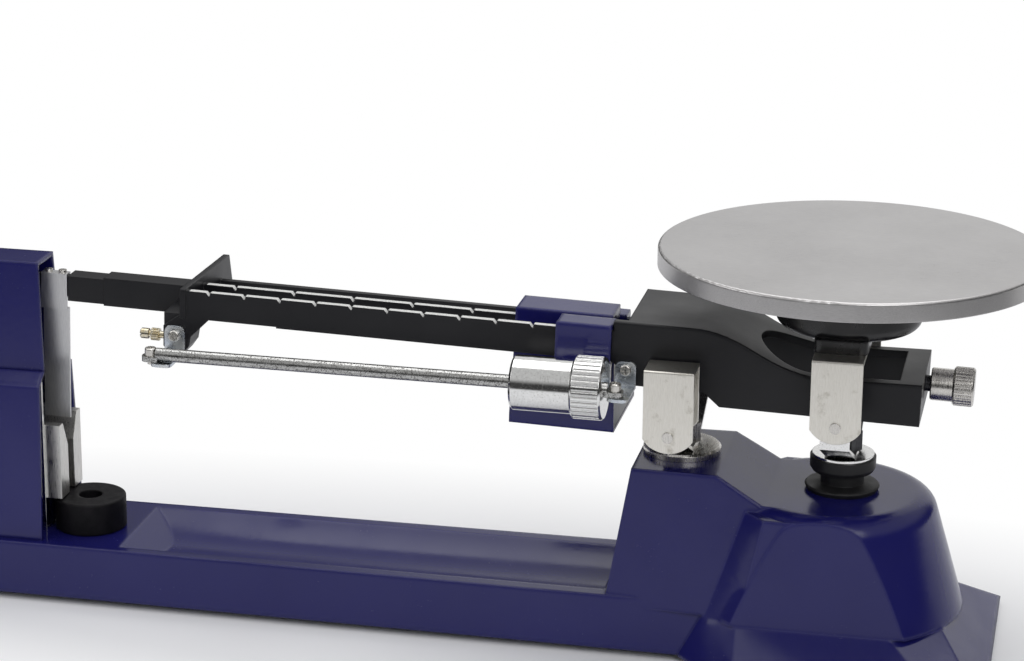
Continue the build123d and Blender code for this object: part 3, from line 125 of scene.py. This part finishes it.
class Nodes:
    """A tree of shader nodes under construction."""

    def __init__(self, tree):
        self.tree = tree

    def add(self, kind, **settings):
        made = self.tree.nodes.new(kind)
        for key, value in settings.items():
            setattr(made, key, value)
        return made

    def feed(self, source, target):
        self.tree.links.new(source, target)

    def spread(self, value, low, high, to_low, to_high, kind="LINEAR"):
        """Maps a value from one range to another, clamped."""
        mapped = self.add("ShaderNodeMapRange", interpolation_type=kind)
        for socket, number in zip(mapped.inputs[1:5], (low, high, to_low, to_high)):
            socket.default_value = number
        self.feed(value, mapped.inputs[0])
        return mapped.outputs[0]

    def sum(self, kind, first, second):
        """Result of a sum on two values, each a number or a socket."""
        made = self.add("ShaderNodeMath", operation=kind)
        for socket, value in zip(made.inputs, (first, second)):
            if isinstance(value, (int, float)):
                socket.default_value = value
            else:
                self.feed(value, socket)
        return made.outputs[0]

    def parts(self, vector):
        """The three numbers of a vector."""
        made = self.add("ShaderNodeSeparateXYZ")
        self.feed(vector, made.inputs[0])
        return made.outputs

    def length(self, vector):
        made = self.add("ShaderNodeVectorMath", operation="LENGTH")
        self.feed(vector, made.inputs[0])
        return made.outputs["Value"]

    def mixed(self, factor, first, second):
        """Shader between two."""
        made = self.add("ShaderNodeMixShader")
        self.feed(factor, made.inputs[0])
        self.feed(first.outputs[0], made.inputs[1])
        self.feed(second.outputs[0], made.inputs[2])
        return made


class Surface(Nodes):
    """A material under construction, with its shader and the nodes that feed it."""

    def __init__(self, name, colour, rough, metal=0.0):
        self.material = bpy.data.materials.new(name)
        self.material.use_nodes = True
        super().__init__(self.material.node_tree)
        self.shader = self.tree.nodes["Principled BSDF"]
        self.shader.inputs["Base Color"].default_value = (*colour, 1)
        self.shader.inputs["Roughness"].default_value = rough
        self.shader.inputs["Metallic"].default_value = metal
        self.coords = self.add("ShaderNodeTexCoord").outputs["Object"]

    def stretched(self, scale, turn=(0, 0, 0)):
        """Object coordinates turned, then stretched."""
        turned = self.add("ShaderNodeMapping")
        turned.inputs["Rotation"].default_value = turn
        self.feed(self.coords, turned.inputs["Vector"])
        mapping = self.add("ShaderNodeMapping")
        mapping.inputs["Scale"].default_value = scale
        self.feed(turned.outputs["Vector"], mapping.inputs["Vector"])
        return mapping.outputs["Vector"]

    def noise(self, scale, detail=3.0, rough=0.5, vector=None):
        tex = self.add("ShaderNodeTexNoise")
        tex.inputs["Scale"].default_value = scale
        tex.inputs["Detail"].default_value = detail
        tex.inputs["Roughness"].default_value = rough
        self.feed(vector or self.coords, tex.inputs["Vector"])
        return tex.outputs[0]

    def blend(self, factor, first, second):
        """Colour between two, each a tuple or a socket."""
        made = self.add("ShaderNodeMix", data_type="RGBA")
        self.feed(factor, made.inputs[0])
        for socket, value in ((made.inputs[6], first), (made.inputs[7], second)):
            if isinstance(value, tuple):
                socket.default_value = (*value, 1)
            else:
                self.feed(value, socket)
        return made.outputs[2]

    def shade(self, value, low, high, dark, light):
        """Colour that goes from dark to light as the value rises from low to high."""
        return self.blend(self.spread(value, low, high, 0, 1), dark, light)

    def colour(self, socket):
        self.feed(socket, self.shader.inputs["Base Color"])

    def rough(self, socket):
        self.feed(socket, self.shader.inputs["Roughness"])

    def rounded(self, radius):
        """Normal softened over sharp edges by a radius in metres."""
        bevel = self.add("ShaderNodeBevel", samples=6)
        bevel.inputs["Radius"].default_value = radius
        return bevel.outputs["Normal"]

    def edge(self, radius):
        """One near sharp edges and nought on flat places."""
        soft = self.rounded(radius)
        plain = self.add("ShaderNodeNewGeometry").outputs["Normal"]
        dot = self.add("ShaderNodeVectorMath", operation="DOT_PRODUCT")
        self.feed(soft, dot.inputs[0])
        self.feed(plain, dot.inputs[1])
        return self.spread(dot.outputs["Value"], 0.995, 0.80, 0.0, 1.0)

    def relief(self, height, depth, normal=None, strength=1.0):
        """Bump of a height pattern, its depth in metres."""
        bump = self.add("ShaderNodeBump")
        bump.inputs["Strength"].default_value = strength
        bump.inputs["Distance"].default_value = depth
        self.feed(height, bump.inputs["Height"])
        if normal:
            self.feed(normal, bump.inputs["Normal"])
        return bump.outputs["Normal"]

    def normal(self, socket):
        self.feed(socket, self.shader.inputs["Normal"])

    def fixed(self, name, value):
        self.shader.inputs[name].default_value = value


def blue_paint():
    """Thick glossy dark blue paint with a faint ripple and a few dull spots."""
    s = Surface("blue_paint", (0.013, 0.014, 0.088), 0.2)
    paint = s.shade(s.noise(14, 3), 0.3, 0.7, (0.0075, 0.0075, 0.088), (0.011, 0.011, 0.104))
    # The lighter blue on the edges is a painted highlight: light caught on the rounded edges of the
    # casting, painted into the colour.
    s.colour(s.blend(s.edge(0.0012), paint, (0.040, 0.040, 0.160)))
    s.rough(s.sum("ADD", s.spread(s.noise(60, 4), 0.35, 0.7, 0.15, 0.24),
                  s.spread(s.noise(900, 2), 0.62, 0.75, 0.0, 0.08)))
    s.normal(s.relief(s.noise(420, 2), 0.00003, s.rounded(0.0022)))
    s.fixed("Specular IOR Level", 0.42)
    return s


def beam_frame(s):
    """Along, across and height on the leaning beam, in metres."""
    mapping = s.add("ShaderNodeMapping")
    c, n = math.cos(TILT), math.sin(TILT)
    mapping.inputs["Rotation"].default_value = (0, TILT, 0)
    mapping.inputs["Location"].default_value = (-(KNIFE.x * c + KNIFE.z * n), 0,
                                                -(KNIFE.z * c - KNIFE.x * n))
    s.feed(s.coords, mapping.inputs["Vector"])
    return s.parts(mapping.outputs["Vector"])


def between(s, value, low, high):
    """One where a length lies between two, given in millimetres."""
    return s.sum("MULTIPLY", s.sum("GREATER_THAN", value, low / 1000),
                 s.sum("LESS_THAN", value, high / 1000))


def white_edge(s, across, height, bar_y, bar_top):
    """One along the top edge of a notched bar."""
    half = BAR_THICK / 2
    band = between(s, across, bar_y - half + WHITE_EDGE_INSET, bar_y + half + WHITE_EDGE_OVER)
    return s.sum("MULTIPLY", band, s.sum("GREATER_THAN", height, (bar_top - WHITE_EDGE_DEEP) / 1000))


def black_beam():
    """Satin black paint on the casting, with white edges on the two notched bars."""
    s = Surface("black_beam", (0.011, 0.011, 0.013), 0.42)
    along, across, height = beam_frame(s)[:3]
    facing = s.parts(s.add("ShaderNodeNewGeometry").outputs["Normal"])
    upward = s.sum("GREATER_THAN", facing[2], 0.45)
    stretch = between(s, along, WHITE_EDGE_START, WHITE_EDGE_END)
    edges = s.sum("MAXIMUM", white_edge(s, across, height, REAR_BAR_Y, REAR_BAR_TOP),
                  white_edge(s, across, height, 0.0, MIDDLE_BAR_TOP))
    painted = s.sum("MULTIPLY", s.sum("MULTIPLY", upward, stretch), edges)
    worn = s.sum("MULTIPLY", painted, s.spread(s.noise(1300, 3), 0.30, 0.40, 0.55, 1.0))
    black = s.shade(s.noise(30, 4), 0.35, 0.65, (0.006, 0.006, 0.008), (0.010, 0.010, 0.012))
    # The lighter grey on the edges is a painted highlight: light caught on the rounded edges of the
    # casting, painted into the colour.
    black = s.blend(s.edge(0.0006), black, (0.022, 0.022, 0.024))
    s.colour(s.blend(worn, black, (0.76, 0.76, 0.74)))
    s.rough(s.spread(s.noise(45, 4), 0.3, 0.7, 0.32, 0.42))
    s.normal(s.relief(s.noise(1400, 3), 0.00003, s.rounded(0.0008), 0.7))
    s.fixed("Specular IOR Level", 0.32)
    return s


def black_hub():
    """Smooth moulded black seat, a little dusty."""
    s = Surface("black_hub", (0.010, 0.010, 0.011), 0.3)
    s.colour(s.shade(s.noise(80, 4), 0.4, 0.7, (0.008, 0.008, 0.009), (0.017, 0.016, 0.017)))
    s.rough(s.spread(s.noise(150, 3), 0.3, 0.7, 0.24, 0.36))
    s.normal(s.relief(s.noise(700, 2), 0.00002, s.rounded(0.001)))
    return s


def pan_steel():
    """Stainless sheet with a fine straight grain and faint blotches."""
    s = Surface("pan_steel", (0.52, 0.51, 0.505), 0.33, 1.0)
    grain = s.noise(260, 3, 0.6, s.stretched((1.2, 16, 16)))
    blotch = s.noise(24, 4, 0.6)
    tone = s.sum("ADD", s.spread(grain, 0.3, 0.7, 0.0, 0.6), s.spread(blotch, 0.3, 0.7, 0.0, 0.4))
    s.colour(s.blend(tone, (0.42, 0.41, 0.41), (0.60, 0.59, 0.585)))
    s.rough(s.sum("ADD", s.spread(grain, 0.3, 0.7, 0.26, 0.36), s.spread(blotch, 0.3, 0.7, 0.0, 0.05)))
    s.normal(s.relief(grain, 0.00002, s.rounded(0.0005), 0.6))
    return s


def nickel_sheet():
    """Warm nickel plate, brushed upright, with a few dark stains."""
    s = Surface("nickel_sheet", (0.62, 0.59, 0.53), 0.3, 1.0)
    grain = s.noise(500, 3, 0.6, s.stretched((9, 9, 0.8)))
    blotch = s.noise(150, 5, 0.65)
    stain = s.spread(blotch, 0.58, 0.72, 0.0, 1.0)
    plate = s.shade(grain, 0.3, 0.7, (0.74, 0.715, 0.65), (0.86, 0.835, 0.775))
    s.colour(s.blend(stain, plate, (0.58, 0.55, 0.48)))
    s.rough(s.sum("ADD", s.spread(grain, 0.3, 0.7, 0.28, 0.38), s.sum("MULTIPLY", stain, 0.1)))
    s.normal(s.relief(grain, 0.000015, s.rounded(0.0004), 0.7))
    return s


def plated_steel():
    """Bright plating over lightly pitted steel."""
    s = Surface("plated_steel", (0.80, 0.80, 0.79), 0.12, 1.0)
    pits = s.spread(s.noise(2200, 2, 0.7), 0.60, 0.68, 0.0, 1.0)
    fine = s.noise(900, 4, 0.6)
    s.colour(s.blend(pits, s.shade(fine, 0.3, 0.7, (0.74, 0.74, 0.73), (0.86, 0.86, 0.85)),
                     (0.34, 0.33, 0.31)))
    s.rough(s.sum("ADD", s.spread(fine, 0.35, 0.7, 0.08, 0.17), s.sum("MULTIPLY", pits, 0.25)))
    s.normal(s.relief(fine, 0.000012, s.rounded(0.0003), 0.7))
    return s


def speckled_rod():
    """Thin plating on a drawn rod, with dark specks all along it."""
    s = Surface("speckled_rod", (0.5, 0.5, 0.49), 0.22, 1.0)
    specks = s.spread(s.noise(1500, 3, 0.75), 0.50, 0.62, 0.0, 1.0)
    streak = s.noise(500, 3, 0.6, s.stretched((0.3, 5, 5)))
    s.colour(s.blend(specks, s.shade(streak, 0.3, 0.7, (0.34, 0.34, 0.33), (0.62, 0.62, 0.61)),
                     (0.13, 0.125, 0.12)))
    s.rough(s.sum("ADD", s.spread(streak, 0.3, 0.7, 0.16, 0.26), s.sum("MULTIPLY", specks, 0.2)))
    s.normal(s.relief(specks, 0.00002, s.rounded(0.0003), 0.7))
    return s


def bright_steel():
    """Turned steel with fine rings of tool marks."""
    s = Surface("bright_steel", (0.60, 0.58, 0.55), 0.24, 1.0)
    rings = s.noise(700, 2, 0.6, s.stretched((4, 0.4, 0.4)))
    s.colour(s.shade(rings, 0.3, 0.7, (0.55, 0.53, 0.50), (0.76, 0.74, 0.70)))
    s.rough(s.spread(rings, 0.3, 0.7, 0.18, 0.34))
    s.normal(s.relief(rings, 0.00001, s.rounded(0.0003), 0.8))
    return s


def hard_steel():
    """Ground knife steel."""
    s = Surface("hard_steel", (0.5, 0.5, 0.5), 0.25, 1.0)
    grain = s.noise(600, 3, 0.6, s.stretched((1, 10, 10)))
    s.colour(s.shade(grain, 0.3, 0.7, (0.38, 0.38, 0.39), (0.52, 0.52, 0.53)))
    s.rough(s.spread(grain, 0.3, 0.7, 0.2, 0.34))
    s.normal(s.relief(grain, 0.00001, s.rounded(0.0002), 0.6))
    return s


def bearing_stone():
    """Polished smoky agate with soft bands."""
    s = Surface("bearing_stone", (0.06, 0.06, 0.065), 0.15)
    bands = s.noise(220, 3, 0.5, s.stretched((1, 1, 4)))
    s.colour(s.shade(bands, 0.3, 0.7, (0.035, 0.033, 0.035), (0.12, 0.115, 0.12)))
    s.rough(s.spread(s.noise(400, 2), 0.3, 0.7, 0.1, 0.2))
    s.normal(s.relief(s.noise(500, 2), 0.00001, s.rounded(0.0002)))
    return s


def black_rubber():
    """Moulded rubber with a dull bloom."""
    s = Surface("black_rubber", (0.010, 0.010, 0.011), 0.5)
    bloom = s.noise(120, 5, 0.6)
    s.colour(s.shade(bloom, 0.45, 0.75, (0.007, 0.007, 0.008), (0.018, 0.017, 0.018)))
    s.rough(s.spread(bloom, 0.3, 0.7, 0.42, 0.62))
    s.normal(s.relief(s.noise(900, 3), 0.00004, s.rounded(0.0006), 0.7))
    return s


def zinc_sheet():
    """Bright zinc on small stampings, with a blue cast in places."""
    s = Surface("zinc_sheet", (0.62, 0.65, 0.68), 0.26, 1.0)
    spangle = s.noise(160, 3, 0.5)
    s.colour(s.shade(spangle, 0.35, 0.65, (0.52, 0.57, 0.64), (0.74, 0.75, 0.74)))
    s.rough(s.spread(spangle, 0.3, 0.7, 0.2, 0.34))
    s.normal(s.relief(s.noise(1500, 2), 0.00001, s.rounded(0.0004), 0.8))
    return s


def vane_metal():
    """Rolled aluminium strip with lengthwise streaks."""
    s = Surface("vane_metal", (0.58, 0.58, 0.58), 0.35, 1.0)
    streak = s.noise(420, 4, 0.6, s.stretched((10, 10, 0.6)))
    s.colour(s.shade(streak, 0.3, 0.7, (0.64, 0.64, 0.65), (0.80, 0.80, 0.80)))
    s.rough(s.spread(streak, 0.3, 0.7, 0.3, 0.44))
    s.normal(s.relief(streak, 0.00001, s.rounded(0.0002), 0.7))
    return s


def bare_casting():
    """Cast zinc left bare, dull and grainy."""
    s = Surface("bare_casting", (0.36, 0.36, 0.37), 0.5, 1.0)
    grainy = s.noise(260, 5, 0.65)
    s.colour(s.shade(grainy, 0.35, 0.65, (0.27, 0.27, 0.28), (0.42, 0.42, 0.43)))
    s.rough(s.spread(grainy, 0.3, 0.7, 0.42, 0.6))
    s.normal(s.relief(grainy, 0.00006, s.rounded(0.0004), 0.7))
    return s


def brassy_nickel():
    """Thin nickel over brass, warm where it has worn."""
    s = Surface("brassy_nickel", (0.66, 0.60, 0.45), 0.22, 1.0)
    worn = s.noise(500, 4, 0.6)
    s.colour(s.shade(worn, 0.4, 0.6, (0.70, 0.66, 0.56), (0.66, 0.56, 0.36)))
    s.rough(s.spread(worn, 0.3, 0.7, 0.16, 0.3))
    s.normal(s.relief(worn, 0.00001, s.rounded(0.0002)))
    return s


def white_paint():
    """Matt white marking paint."""
    s = Surface("white_paint", (0.78, 0.78, 0.76), 0.5)
    patch = s.noise(900, 4, 0.6)
    s.colour(s.shade(patch, 0.35, 0.65, (0.72, 0.72, 0.70), (0.80, 0.80, 0.78)))
    s.rough(s.spread(patch, 0.3, 0.7, 0.44, 0.58))
    s.normal(s.relief(patch, 0.00001))
    return s


def dark_iron():
    """Matt black coating on the loose weight, with rubbed grey edges."""
    s = Surface("dark_iron", (0.012, 0.012, 0.013), 0.55)
    rub = s.sum("MULTIPLY", s.edge(0.0009), s.spread(s.noise(500, 4), 0.42, 0.6, 0.15, 1.0))
    skin = s.shade(s.noise(160, 5, 0.6), 0.35, 0.65, (0.003, 0.003, 0.004), (0.008, 0.007, 0.009))
    s.colour(s.blend(rub, skin, (0.028, 0.026, 0.027)))
    s.rough(s.spread(s.noise(300, 4), 0.3, 0.7, 0.46, 0.62))
    s.normal(s.relief(s.noise(700, 4, 0.6), 0.00008, s.rounded(0.0012), 0.7))
    s.fixed("Specular IOR Level", 0.16)
    return s


def magnet_metal():
    """Damper magnets faced with bright sheet, brushed downwards."""
    s = Surface("magnet_metal", (0.66, 0.65, 0.62), 0.3, 1.0)
    streak = s.noise(380, 4, 0.6, s.stretched((7, 7, 0.5)))
    s.colour(s.shade(streak, 0.3, 0.7, (0.52, 0.51, 0.49), (0.80, 0.79, 0.76)))
    s.rough(s.spread(streak, 0.3, 0.7, 0.24, 0.40))
    s.normal(s.relief(streak, 0.00001, s.rounded(0.0004)))
    return s


def black_steel():
    """Blackened steel with brighter rubbed places."""
    s = Surface("black_steel", (0.05, 0.05, 0.055), 0.35, 0.9)
    rubbed = s.noise(300, 4, 0.6)
    s.colour(s.shade(rubbed, 0.45, 0.7, (0.035, 0.035, 0.04), (0.10, 0.10, 0.105)))
    s.rough(s.spread(rubbed, 0.3, 0.7, 0.3, 0.45))
    s.normal(s.relief(rubbed, 0.00002, s.rounded(0.0003)))
    return s


FINISHES = [blue_paint, black_beam, black_hub, pan_steel, nickel_sheet, plated_steel, bright_steel,
            hard_steel, bearing_stone, black_rubber, zinc_sheet, vane_metal, bare_casting, brassy_nickel,
            white_paint, dark_iron, magnet_metal, black_steel, speckled_rod]
surfaces = {finish.__name__: finish().material for finish in FINISHES}


def dress_nodes():
    """Gives every solid its finish."""
    for part in frame["record"]["subparts"]:
        node = frame["nodes"][part["node"]]
        finish = surfaces[part["material_slot"]]
        if not node.material_slots:
            node.data.materials.append(finish)
        for place in node.material_slots:
            place.material = finish
    for place in frame["nodes"]["tare_rod"].material_slots:
        place.material = surfaces["speckled_rod"]


# Printed marks


def flat_mark(width, height):
    """A thin upright bar of paint that faces the front, with its corners eased."""
    clear_selection()
    bpy.ops.mesh.primitive_plane_add(size=1.0)
    mark = bpy.context.object
    mark.scale = (width / 1000, height / 1000, 1)
    mark.rotation_euler = (math.pi / 2, 0, 0)
    settle(mark)
    bpy.ops.object.mode_set(mode="EDIT")
    bpy.ops.mesh.select_all(action="SELECT")
    bpy.ops.mesh.bevel(offset=min(width, height) / 5000, segments=1, affect="VERTICES")
    bpy.ops.mesh.select_all(action="SELECT")
    bpy.ops.mesh.extrude_region_move(TRANSFORM_OT_translate={"value": (0, -MARK_DEPTH / 1000, 0)})
    bpy.ops.mesh.select_all(action="SELECT")
    bpy.ops.mesh.normals_make_consistent(inside=False)
    bpy.ops.object.mode_set(mode="OBJECT")
    return mark


def figure(text, size):
    """A number as a thin plate of paint that faces the front, centred on its foot."""
    clear_selection()
    bpy.ops.object.text_add()
    words = bpy.context.object
    words.data.body = text
    words.data.size = size / 1000
    words.data.extrude = MARK_DEPTH / 2000
    words.data.align_x = "CENTER"
    words.data.resolution_u = 3
    bpy.ops.object.convert(target="MESH")
    words = bpy.context.object
    words.rotation_euler = (math.pi / 2, 0, 0)
    words.location = (0, -MARK_DEPTH / 2000, 0)
    settle(words)
    return words


def copied(piece):
    twin = piece.copy()
    twin.data = piece.data.copy()
    bpy.context.scene.collection.objects.link(twin)
    return twin


def on_beam(piece, along, y, height):
    """Lays a mark, drawn at the origin, on the leaning beam."""
    piece.rotation_euler = (0, -TILT, 0)
    piece.location = beam_place(along, y, height)
    settle(piece)
    return piece


def gather(name, marks, body):
    """Joins the marks into one named piece in white paint."""
    clear_selection()
    for mark in marks:
        mark.select_set(True)
    bpy.context.view_layer.objects.active = marks[0]
    bpy.ops.object.join()
    piece = bpy.context.object
    piece.name = name
    piece.data.name = name
    piece.data.materials.clear()
    piece.data.materials.append(surfaces["white_paint"])
    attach(piece, body)
    return piece


def row_of_marks(pattern, count, start, step, y, height):
    """Copies of one mark, evenly spaced along the beam."""
    return [on_beam(copied(pattern), start + k * step, y, height) for k in range(count)]


def discard(*patterns):
    for pattern in patterns:
        bpy.data.objects.remove(pattern, do_unlink=True)


def notched_bar_scale(name, count, unit, zero, step, bar_y, bar_top):
    """Counts up by its unit, one mark at each notch."""
    face = bar_y - BAR_THICK / 2 + MARK_SUNK
    line = flat_mark(*NOTCH_MARK)
    marks = row_of_marks(line, count, zero, step, face, bar_top - NOTCH_MARK_DROP)
    for k in range(count):
        number = figure(str(unit * k), NOTCH_FIGURE)
        marks.append(on_beam(number, zero + k * step, face, bar_top - NOTCH_FIGURE_DROP))
    discard(line)
    return gather(name, marks, "beam")


def front_mark(k):
    """Size of the mark at the k-th tenth."""
    if k % 10 == 0:
        return WHOLE_MARK
    if k % 5 == 0:
        return HALF_MARK
    return TENTH_MARK


def front_bar_scale():
    """0 to 10 in tenths, with longer marks at the halves and the whole numbers."""
    face = FRONT_BAR_Y - BAR_THICK / 2 + MARK_SUNK
    step = FRONT_TRAVEL / 100
    patterns = {size: flat_mark(*size) for size in (TENTH_MARK, HALF_MARK, WHOLE_MARK)}
    marks = []
    for k in range(101):
        size = front_mark(k)
        middle = FRONT_BAR_TOP - FRONT_MARK_DROP - size[1] / 2
        marks.append(on_beam(copied(patterns[size]), FRONT_ZERO + k * step, face, middle))
    for k in range(11):
        number = figure(str(k), FRONT_FIGURE)
        marks.append(on_beam(number, FRONT_ZERO + 10 * k * step, face, FRONT_BAR_TOP - FRONT_FIGURE_DROP))
    discard(*patterns.values())
    return gather("front_bar_scale", marks, "beam")


# Room


def studio_floor():
    """Pale floor that keeps the shadow and fades into white, with the dark room past its near edge."""
    clear_selection()
    bpy.ops.mesh.primitive_grid_add(x_subdivisions=8, y_subdivisions=8, size=12.0)
    floor = bpy.context.object
    floor.name = "studio_floor"
    s = Surface("floor_paper", (0.88, 0.88, 0.89), 0.7)
    patch = s.spread(s.noise(6, 4), 0.3, 0.7, 0, 1)
    s.colour(s.blend(patch, (0.88, 0.88, 0.89), (0.91, 0.91, 0.92)))
    fade = s.spread(s.length(s.stretched((0.42, 1.25, 0))), 0.09, 0.22, 0.0, 1.0)
    path = s.add("ShaderNodeLightPath").outputs
    seen = s.sum("MAXIMUM", path["Is Camera Ray"], path["Is Transmission Ray"])
    faded = s.mixed(s.sum("MULTIPLY", fade, seen), s.shader, s.add("ShaderNodeEmission"))
    far = s.spread(s.length(s.coords), 0.52, 0.90, 0.0, 1.0)
    room = s.add("ShaderNodeEmission")
    s.feed(s.spread(s.parts(s.coords)[1], -0.45, -0.15, 1.0, 0.05), room.inputs["Strength"])
    last = s.mixed(s.sum("MULTIPLY", far, path["Is Glossy Ray"]), faded, room)
    s.feed(last.outputs[0], s.tree.nodes["Material Output"].inputs["Surface"])
    floor.data.materials.append(s.material)


def soft_lamp(name, place, aim, size, power, size_y=None):
    data = bpy.data.lights.new(name, "AREA")
    data.shape = "RECTANGLE"
    data.size = size
    data.size_y = size_y or size
    data.energy = power
    lamp = bpy.data.objects.new(name, data)
    bpy.context.scene.collection.objects.link(lamp)
    lamp.location = place
    lamp.rotation_euler = (Vector(aim) - Vector(place)).to_track_quat("-Z", "Y").to_euler()
    return lamp


def studio_world():
    """White to the eye; polished metal mirrors a white sheet behind, a ceiling and a darker room."""
    world = bpy.data.worlds.new("studio_world")
    bpy.context.scene.world = world
    world.use_nodes = True
    w = Nodes(world.node_tree)
    plain = w.tree.nodes["Background"]
    plain.inputs["Color"].default_value = (0.96, 0.97, 1.0, 1)
    plain.inputs["Strength"].default_value = 0.45
    white = w.add("ShaderNodeBackground")
    white.inputs["Color"].default_value = (1, 1, 1, 1)
    mirrored = w.add("ShaderNodeBackground")
    across, depth, height = w.parts(w.add("ShaderNodeTexCoord").outputs["Generated"])[:3]
    sideways = w.sum("ABSOLUTE", w.sum("ADD", across, 0.10), 0.0)
    sheet = w.sum("MULTIPLY", w.spread(sideways, 0.27, 0.42, 1.0, 0.0, "SMOOTHSTEP"),
                  w.spread(depth, -0.35, 0.0, 1.0, 0.0, "SMOOTHSTEP"))
    ceiling = w.spread(height, 0.15, 0.55, 0.0, 0.70, "SMOOTHSTEP")
    strength = w.sum("MAXIMUM", w.sum("MAXIMUM", sheet, ceiling), 0.06)
    w.feed(strength, mirrored.inputs["Strength"])
    path = w.add("ShaderNodeLightPath").outputs
    first = w.mixed(path["Is Glossy Ray"], plain, mirrored)
    seen = w.sum("MAXIMUM", path["Is Camera Ray"], path["Is Transmission Ray"])
    last = w.mixed(seen, first, white)
    w.feed(last.outputs[0], w.tree.nodes["World Output"].inputs["Surface"])


def studio_lamps():
    middle = (-0.05, 0.0, 0.1)
    soft_lamp("lamp_above", (-0.1, -0.25, 1.5), middle, 1.5, 9.0, 1.1)
    soft_lamp("lamp_viewer_side", (-0.75, 1.15, 0.95), middle, 0.9, 6.0)
    soft_lamp("lamp_pointer_side", (1.1, 0.7, 0.9), middle, 0.8, 3.5)


photo_camera()
dress_nodes()
notched_bar_scale("rear_bar_scale", 11, 10, REAR_ZERO, REAR_STEP, REAR_BAR_Y, REAR_BAR_TOP)
notched_bar_scale("middle_bar_scale", 6, 100, MIDDLE_ZERO, MIDDLE_STEP, 0.0, MIDDLE_BAR_TOP)
front_bar_scale()
studio_floor()
studio_world()
studio_lamps()
bpy.context.scene.view_settings.view_transform = "Standard"
